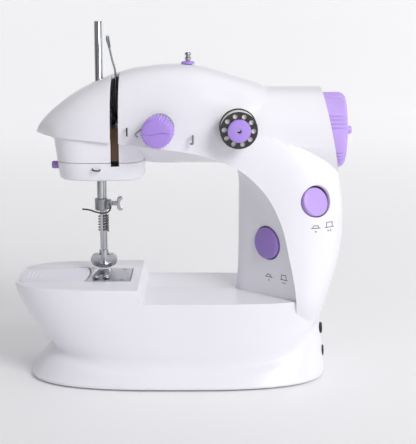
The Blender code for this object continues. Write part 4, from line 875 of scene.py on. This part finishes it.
# ------------------------------------------------------------------ front bobbin and its cap
# The upper thread comes from a smoked plastic bobbin on a steel spindle: two flanges with ten round
# windows each, wound with white thread and held by a lavender cap with a hole in its middle.
# Thread: dull white cotton wound flat, with the fine ridges of the turns.
cotton = moulded_rubber("white_cotton_winding", "#f2f0ee", "#e6e3e1")
smoked_styrene = moulded_plastic("smoked_styrene", "#2b2729", "#211e20", 0.2, ior=1.59)
at, axis = joint_at("front_bobbin_hinge")
reach = 10.9
reel = [(2.3, 5.0), (reach - 0.2, 5.0), (reach, 5.2), (reach, 5.8), (reach - 0.2, 6.0), (4.7, 6.0),
        (4.4, 6.3), (4.4, 13.9), (4.7, 14.2), (reach - 0.2, 14.2), (reach, 14.4), (reach, 15.0),
        (reach - 0.2, 15.2), (2.3, 15.2)]
bobbin = raw_piece("thread_bobbin", *lathe(reel, at, axis, 96, bored=True))
turn = Vector((0, 0, 1)).rotation_difference(axis).to_matrix()
for k in range(10):
    angle = 2 * math.pi * k / 10
    spot = at + turn @ Vector((8.5 * math.cos(angle), 8.5 * math.sin(angle), 0))
    carve(bobbin, raw_piece("window", *lathe([(1.5, 0), (1.5, 20)], spot, axis, 28)))
finish_piece(bobbin, smoked_styrene, "front_bobbin", ["front_bobbin"])
wound = [(4.5, 6.05), (9.9, 6.05)] + [(10.15 + 0.12 * (k % 2), 6.3 + 0.4 * k) for k in range(20)]
wound += [(9.9, 14.15), (4.5, 14.15)]
winding = raw_piece("bobbin_winding", *lathe(wound, at, axis, 96, bored=True))
finish_piece(winding, cotton, "front_bobbin")
button_cap = [(1.3, 15.5), (6.5, 15.5), (6.8, 15.8), (6.8, 16.8), (6.5, 17.3), (5.8, 17.6),
              (1.6, 17.8), (1.3, 17.6)]
cap_piece = raw_piece("bobbin_retainer", *lathe(button_cap, at, axis, 72, bored=True))
finish_piece(cap_piece, lavender_abs, "front_bobbin", ["bobbin_cap"])


# ------------------------------------------------------------------ push buttons and their marks
# Lavender ABS caps, slightly domed, that sit in round wells in the panel and the column. Each has plain
# pad-printed push marks beside it.
def push_cap(name, reach, top, finish):
    at, axis = joint_at(name + "_slide")
    crown = [(0.3, top), (3.0, top - 0.03), (6.0, top - 0.12), (reach - 1.2, top - 0.25),
             (reach - 0.5, top - 0.4), (reach - 0.15, top - 0.7), (reach, top - 1.1), (reach, -3.5),
             (6.0, -3.5), (6.0, -6.5), (0.3, -6.5)]
    return finish_piece(raw_piece(name + "_cap", *lathe(crown, at, -axis, 96)), finish, name, [name])


push_cap("power_button", 8.7, 2.1, pale_lavender_abs)
# The speed button's lavender is painted darker as painted shade.
push_cap("speed_button", 9.6, 2.9, violet_abs)


def print_marks(name, outlines, shell, origin, across, upward, towards):
    """Pad-printed shapes a few hundredths of a millimetre proud of the shell they follow."""
    skin = BVHTree.FromObject(shell, bpy.context.evaluated_depsgraph_get())
    verts, faces = [], []
    for outline in outlines:
        base = len(verts)
        for a, b in outline:
            start = (origin + across * a + upward * b - towards * 30) * MM
            hit = skin.ray_cast(start, towards)
            for height in (0.05, -0.1):
                verts.append((hit[0] + hit[1] * height * MM) / MM)
        count = len(outline)
        front = [base + 2 * i for i in range(count)]
        rear = [base + 2 * i + 1 for i in range(count)]
        faces += [tuple(front), tuple(rear[::-1])]
        faces += [(front[i], rear[i], rear[(i + 1) % count], front[(i + 1) % count]) for i in range(count)]
    return finish_piece(raw_piece(name, verts, faces), pad_ink, "machine")


def stroke(route, width):
    """Straight strokes between points, in short lengths that follow a curved shell."""
    bars = []
    for (ax, ay), (bx, by) in zip(route, route[1:]):
        length = math.hypot(bx - ax, by - ay)
        nx, ny = (ay - by) / length * width / 2, (bx - ax) / length * width / 2
        steps = max(1, round(length / 0.6))
        spots = [(ax + (bx - ax) * k / steps, ay + (by - ay) * k / steps) for k in range(steps + 1)]
        bars += [[(x0 + nx, y0 + ny), (x0 - nx, y0 - ny), (x1 - nx, y1 - ny), (x1 + nx, y1 + ny)]
                 for (x0, y0), (x1, y1) in zip(spots, spots[1:])]
    return bars


def dot(x, y):
    radius = 0.45
    turns = [a * math.pi / 6 for a in range(12)]
    return [(x + radius * math.cos(turn), y + radius * math.sin(turn)) for turn in turns]


# Pad-printing ink: a thin satin grey film, slightly uneven where the pad lifted.
pad_ink = moulded_plastic("pad_printed_ink", "#4a4656", "#5d596a", 0.45, grain=0.2, peel=0.01)
pressed = [(-2.9, 0), (2.9, 0)], [(-2.0, 0), (-1.2, 1.5), (1.2, 1.5), (2.0, 0)]
released = [(-2.9, 0), (2.9, 0)], [(-1.8, 0), (-1.8, 2.9), (1.8, 2.9), (1.8, 0)]
for name, origin, across, upward, towards, gap in (
        ("power_marks", Vector((83.4, -45, 96.4)), Vector((1, 0, 0)), Vector((0, 0, 1)),
         Vector((0, 1, 0)), 8.4),
        ("speed_marks", Vector((53.0, -27, 64.0)), Vector((0.667, -0.745, 0)), Vector((0, 0, 1)),
         Vector((0.745, 0.667, 0)), 12.0)):
    bars = []
    for side, icon, dots in ((-1, pressed, 1), (1, released, 2)):
        middle = side * gap / 2
        for route in icon:
            bars += stroke([(middle + x, y) for x, y in route], 0.42)
        bars += [dot(middle + (k - (dots - 1) / 2) * 1.5, -2.0) for k in range(dots)]
    print_marks(name, bars, shells["front"], origin, across, upward, towards)


# ------------------------------------------------------------------ spool pin
# A chromed pin with two beads rises from a lavender collar on the crest of the arm and pulls up to take a
# spool of thread.
low, high = size_of("spool_pin")
pin_x = (low.x + high.x) / 2
top = high.z
pin = [(0.3, low.z), (1.2, low.z), (1.4, low.z + 0.3), (1.4, top - 4.7), (1.9, top - 4.5), (2.0, top - 3.8),
       (1.9, top - 3.1), (1.4, top - 2.9), (1.4, top - 1.9), (1.9, top - 1.7), (2.0, top - 1.1),
       (1.8, top - 0.4), (1.4, top - 0.1), (0.3, top)]
spool_rod = raw_piece("spool_pin_rod", *lathe(pin, (pin_x, 0, 0), (0, 0, 1), 40))
finish_piece(spool_rod, bright_chrome, "spool_pin", ["spool_pin"])
low, high = size_of("spool_pin_base")
collar = [(1.8, low.z), (2.3, low.z), (2.3, high.z - 1.5), (3.9, high.z - 1.5), (4.2, high.z - 1.2),
          (4.1, high.z - 0.6), (3.6, high.z - 0.1), (2.9, high.z), (1.8, high.z)]
spool_collar = raw_piece("spool_pin_collar", *lathe(collar, (pin_x, 0, 0), (0, 0, 1), 56, bored=True))
finish_piece(spool_collar, lavender_abs, "machine", ["spool_pin_base"])


# ------------------------------------------------------------------ handwheel and winder spindle
# A hollow lavender ABS wheel on the end of the main shaft, with groups of grip ribs moulded across its rim,
# and a short stub in its middle that drives a bobbin for winding.
at, axis = joint_at("main_shaft_spin")
low, high = size_of("handwheel")
wheel_reach = high.y
face_x = high.x - 0.4


def grip_groups(angle):
    """Four grooves in each of six groups round the rim."""
    turn_share = (angle / (2 * math.pi) * 6) % 1.0
    if turn_share > 0.42:
        return 0.0
    return 0.9 * (0.5 - 0.5 * math.cos(2 * math.pi * 4 * turn_share / 0.42)) ** 1.2


rim = [(3.3, low.x + 1), (8.0, low.x + 1), (8.3, low.x + 1.4), (8.3, 92.0), (wheel_reach - 2.2, 92.0),
       (wheel_reach - 2.2, low.x), (wheel_reach, low.x), (wheel_reach, face_x - 4.4),
       (wheel_reach - 0.3, face_x - 3.0), (wheel_reach - 0.9, face_x - 1.8),
       (wheel_reach - 2.0, face_x - 0.7), (wheel_reach - 3.4, face_x - 0.15), (wheel_reach - 5.0, face_x),
       (15.0, face_x), (14.4, face_x - 0.5), (5.4, face_x - 0.5), (5.0, high.x), (3.3, high.x)]
wheel = raw_piece("handwheel_rim", *lathe(rim, at, axis, 480, bored=True, groove=grip_groups))
finish_piece(wheel, pale_lavender_abs, "main_shaft", ["handwheel"], 40)
low, high = size_of("winder_spindle")
stub = [(0.3, low.x), (2.6, low.x), (2.6, high.x - 2.0), (2.3, high.x - 0.6), (1.8, high.x - 0.1),
        (0.3, high.x)]
winder = raw_piece("winder_stub", *lathe(stub, at, axis, 48))
finish_piece(winder, pale_lavender_abs, "main_shaft", ["winder_spindle"])


# ------------------------------------------------------------------ power and pedal sockets
# Two round black sockets with a contact pin each, in holes at the right end of the base.
for name, pin_radius in (("dc_jack", 0.9), ("pedal_jack", 0.7)):
    low, high = size_of(name)
    middle = (0, (low.y + high.y) / 2, (low.z + high.z) / 2)
    bore, reach = (2.4 if name == "dc_jack" else 1.8), (high.y - low.y) / 2
    ring = [(bore, low.x), (reach, low.x), (reach, high.x - 0.3), (reach - 0.3, high.x),
            (bore + 0.3, high.x), (bore, high.x - 0.3)]
    jack = raw_piece(name + "_ring", *lathe(ring, middle, (1, 0, 0), 56, bored=True))
    finish_piece(jack, black_abs, "machine", [name])
    contact = rounded([(0.1, low.x + 0.5), (pin_radius, low.x + 0.5), (pin_radius, high.x - 1.2),
                       (0.1, high.x - 0.8)], 0.3)
    contact_pin = raw_piece(name + "_contact", *lathe(contact, middle, (1, 0, 0), 24))
    finish_piece(contact_pin, bright_chrome, "machine")


# ------------------------------------------------------------------ studio
# A pale round sweep under large soft lamps, and a long lens a little above the bed. The sweep glows with
# painted light, brighter behind and to the right, and its colour is painted greyer far to the left as
# painted shade. Lamps, world and camera are placed in metres.
SWEEP_FLOOR_R, SWEEP_CURVE_R, SWEEP_TOP_Z = 1500.0, 700.0, 1100.0


def studio_sweep():
    curve = [math.pi / 2 * k / 12 for k in range(13)]
    profile = [(SWEEP_FLOOR_R * share, 0.0) for share in (0.02, 0.3, 0.6)]
    profile += [(SWEEP_FLOOR_R + SWEEP_CURVE_R * math.sin(turn), SWEEP_CURVE_R * (1 - math.cos(turn)))
                for turn in curve]
    profile.append((SWEEP_FLOOR_R + SWEEP_CURVE_R, SWEEP_TOP_Z))
    around = 96
    verts = [(r * math.cos(2 * math.pi * i / around), r * math.sin(2 * math.pi * i / around), z)
             for r, z in profile for i in range(around)]
    faces = [(ring * around + i, ring * around + (i + 1) % around,
              (ring + 1) * around + (i + 1) % around, (ring + 1) * around + i)
             for ring in range(len(profile) - 1) for i in range(around)]
    faces.append(tuple(range(around - 1, -1, -1)))
    return raw_piece("studio_sweep", verts, faces)


def lamp(name, at, target, width, height, watts):
    light = bpy.data.lights.new(name, "AREA")
    light.shape = "RECTANGLE"
    light.size, light.size_y = width, height
    light.energy = watts
    holder = bpy.data.objects.new(name, light)
    bpy.context.collection.objects.link(holder)
    holder.location = at
    holder.rotation_euler = (Vector(target) - Vector(at)).to_track_quat("-Z", "Y").to_euler()


sweep = studio_sweep()
paper = bpy.data.materials.new("backdrop_paper")
paper.use_nodes = True
paper_tree = paper.node_tree
fibre = add(paper_tree, "ShaderNodeTexNoise", {"Scale": 400.0, "Detail": 4.0},
            {"Vector": add(paper_tree, "ShaderNodeTexCoord").outputs["Object"]})
paper_shader = paper_tree.nodes["Principled BSDF"]
paper_shader.inputs["Roughness"].default_value = 0.6
# Painted light: the paper glows white, more strongly towards the back and to the right.
paper_shader.inputs["Emission Color"].default_value = (1.0, 1.0, 1.0, 1.0)
place = add(paper_tree, "ShaderNodeSeparateXYZ", {},
            {"Vector": add(paper_tree, "ShaderNodeTexCoord").outputs["Object"]})
glows = [add(paper_tree, "ShaderNodeMapRange",
             {"From Min": near, "From Max": far, "To Min": 0.0, "To Max": gain},
             {"Value": place.outputs[side]}).outputs["Result"]
         for side, near, far, gain in (("Y", -0.2, 1.1, 0.32), ("X", 0.0, 1.6, 0.12))]
glow = add(paper_tree, "ShaderNodeMath", {"operation": "ADD"}, {0: glows[0], 1: glows[1]})
paper_tree.links.new(glow.outputs[0], paper_shader.inputs["Emission Strength"])
# Painted shade: the paper's colour turns grey far to the left.
dim_side = add(paper_tree, "ShaderNodeMapRange", {"From Min": -0.5, "From Max": -1.8},
               {"Value": place.outputs["X"]})
paper_painted_shade = add(paper_tree, "ShaderNodeMix", {"data_type": "RGBA"}, {"Factor": dim_side.outputs["Result"]})
paper_painted_shade.inputs[6].default_value = sheen("#f7f7f8")
paper_painted_shade.inputs[7].default_value = sheen("#8f8f93")
paper_tree.links.new(paper_painted_shade.outputs[2], paper_shader.inputs["Base Color"])
paper_bump = add(paper_tree, "ShaderNodeBump", {"Strength": 0.05, "Distance": 0.0002},
                 {"Height": fibre.outputs["Fac"]})
paper_tree.links.new(paper_bump.outputs["Normal"], paper_shader.inputs["Normal"])
sweep.data.materials.append(paper)
sweep.data.shade_smooth()

world = bpy.data.worlds.new("soft_room")
bpy.context.scene.world = world
world.use_nodes = True
world.node_tree.nodes["Background"].inputs["Color"].default_value = sheen("#f4f4f8")
world.node_tree.nodes["Background"].inputs["Strength"].default_value = 0.35
lamp("key", (0.9, -1.15, 1.05), (0.0, 0.0, 0.08), 0.7, 0.7, 16.5)
lamp("left_edge", (-1.25, 0.5, 0.5), (0.0, 0.0, 0.1), 0.3, 1.0, 0.5)
lamp("top", (0.15, 0.0, 1.3), (0.0, 0.0, 0.1), 1.0, 0.8, 2.0)
bpy.context.scene.view_settings.view_transform = "Standard"

CAMERA_AT = Vector((0.0156, -0.7352, 0.2420))
CAMERA_TARGET = Vector((0.0156, 0.0, 0.0938))
camera_data = bpy.data.cameras.new("camera")
camera_data.lens = 98.7
camera_data.sensor_width = 36.0
camera = bpy.data.objects.new("camera", camera_data)
bpy.context.collection.objects.link(camera)
camera.location = CAMERA_AT
camera.rotation_euler = (CAMERA_TARGET - CAMERA_AT).to_track_quat("-Z", "Y").to_euler()
bpy.context.scene.camera = camera
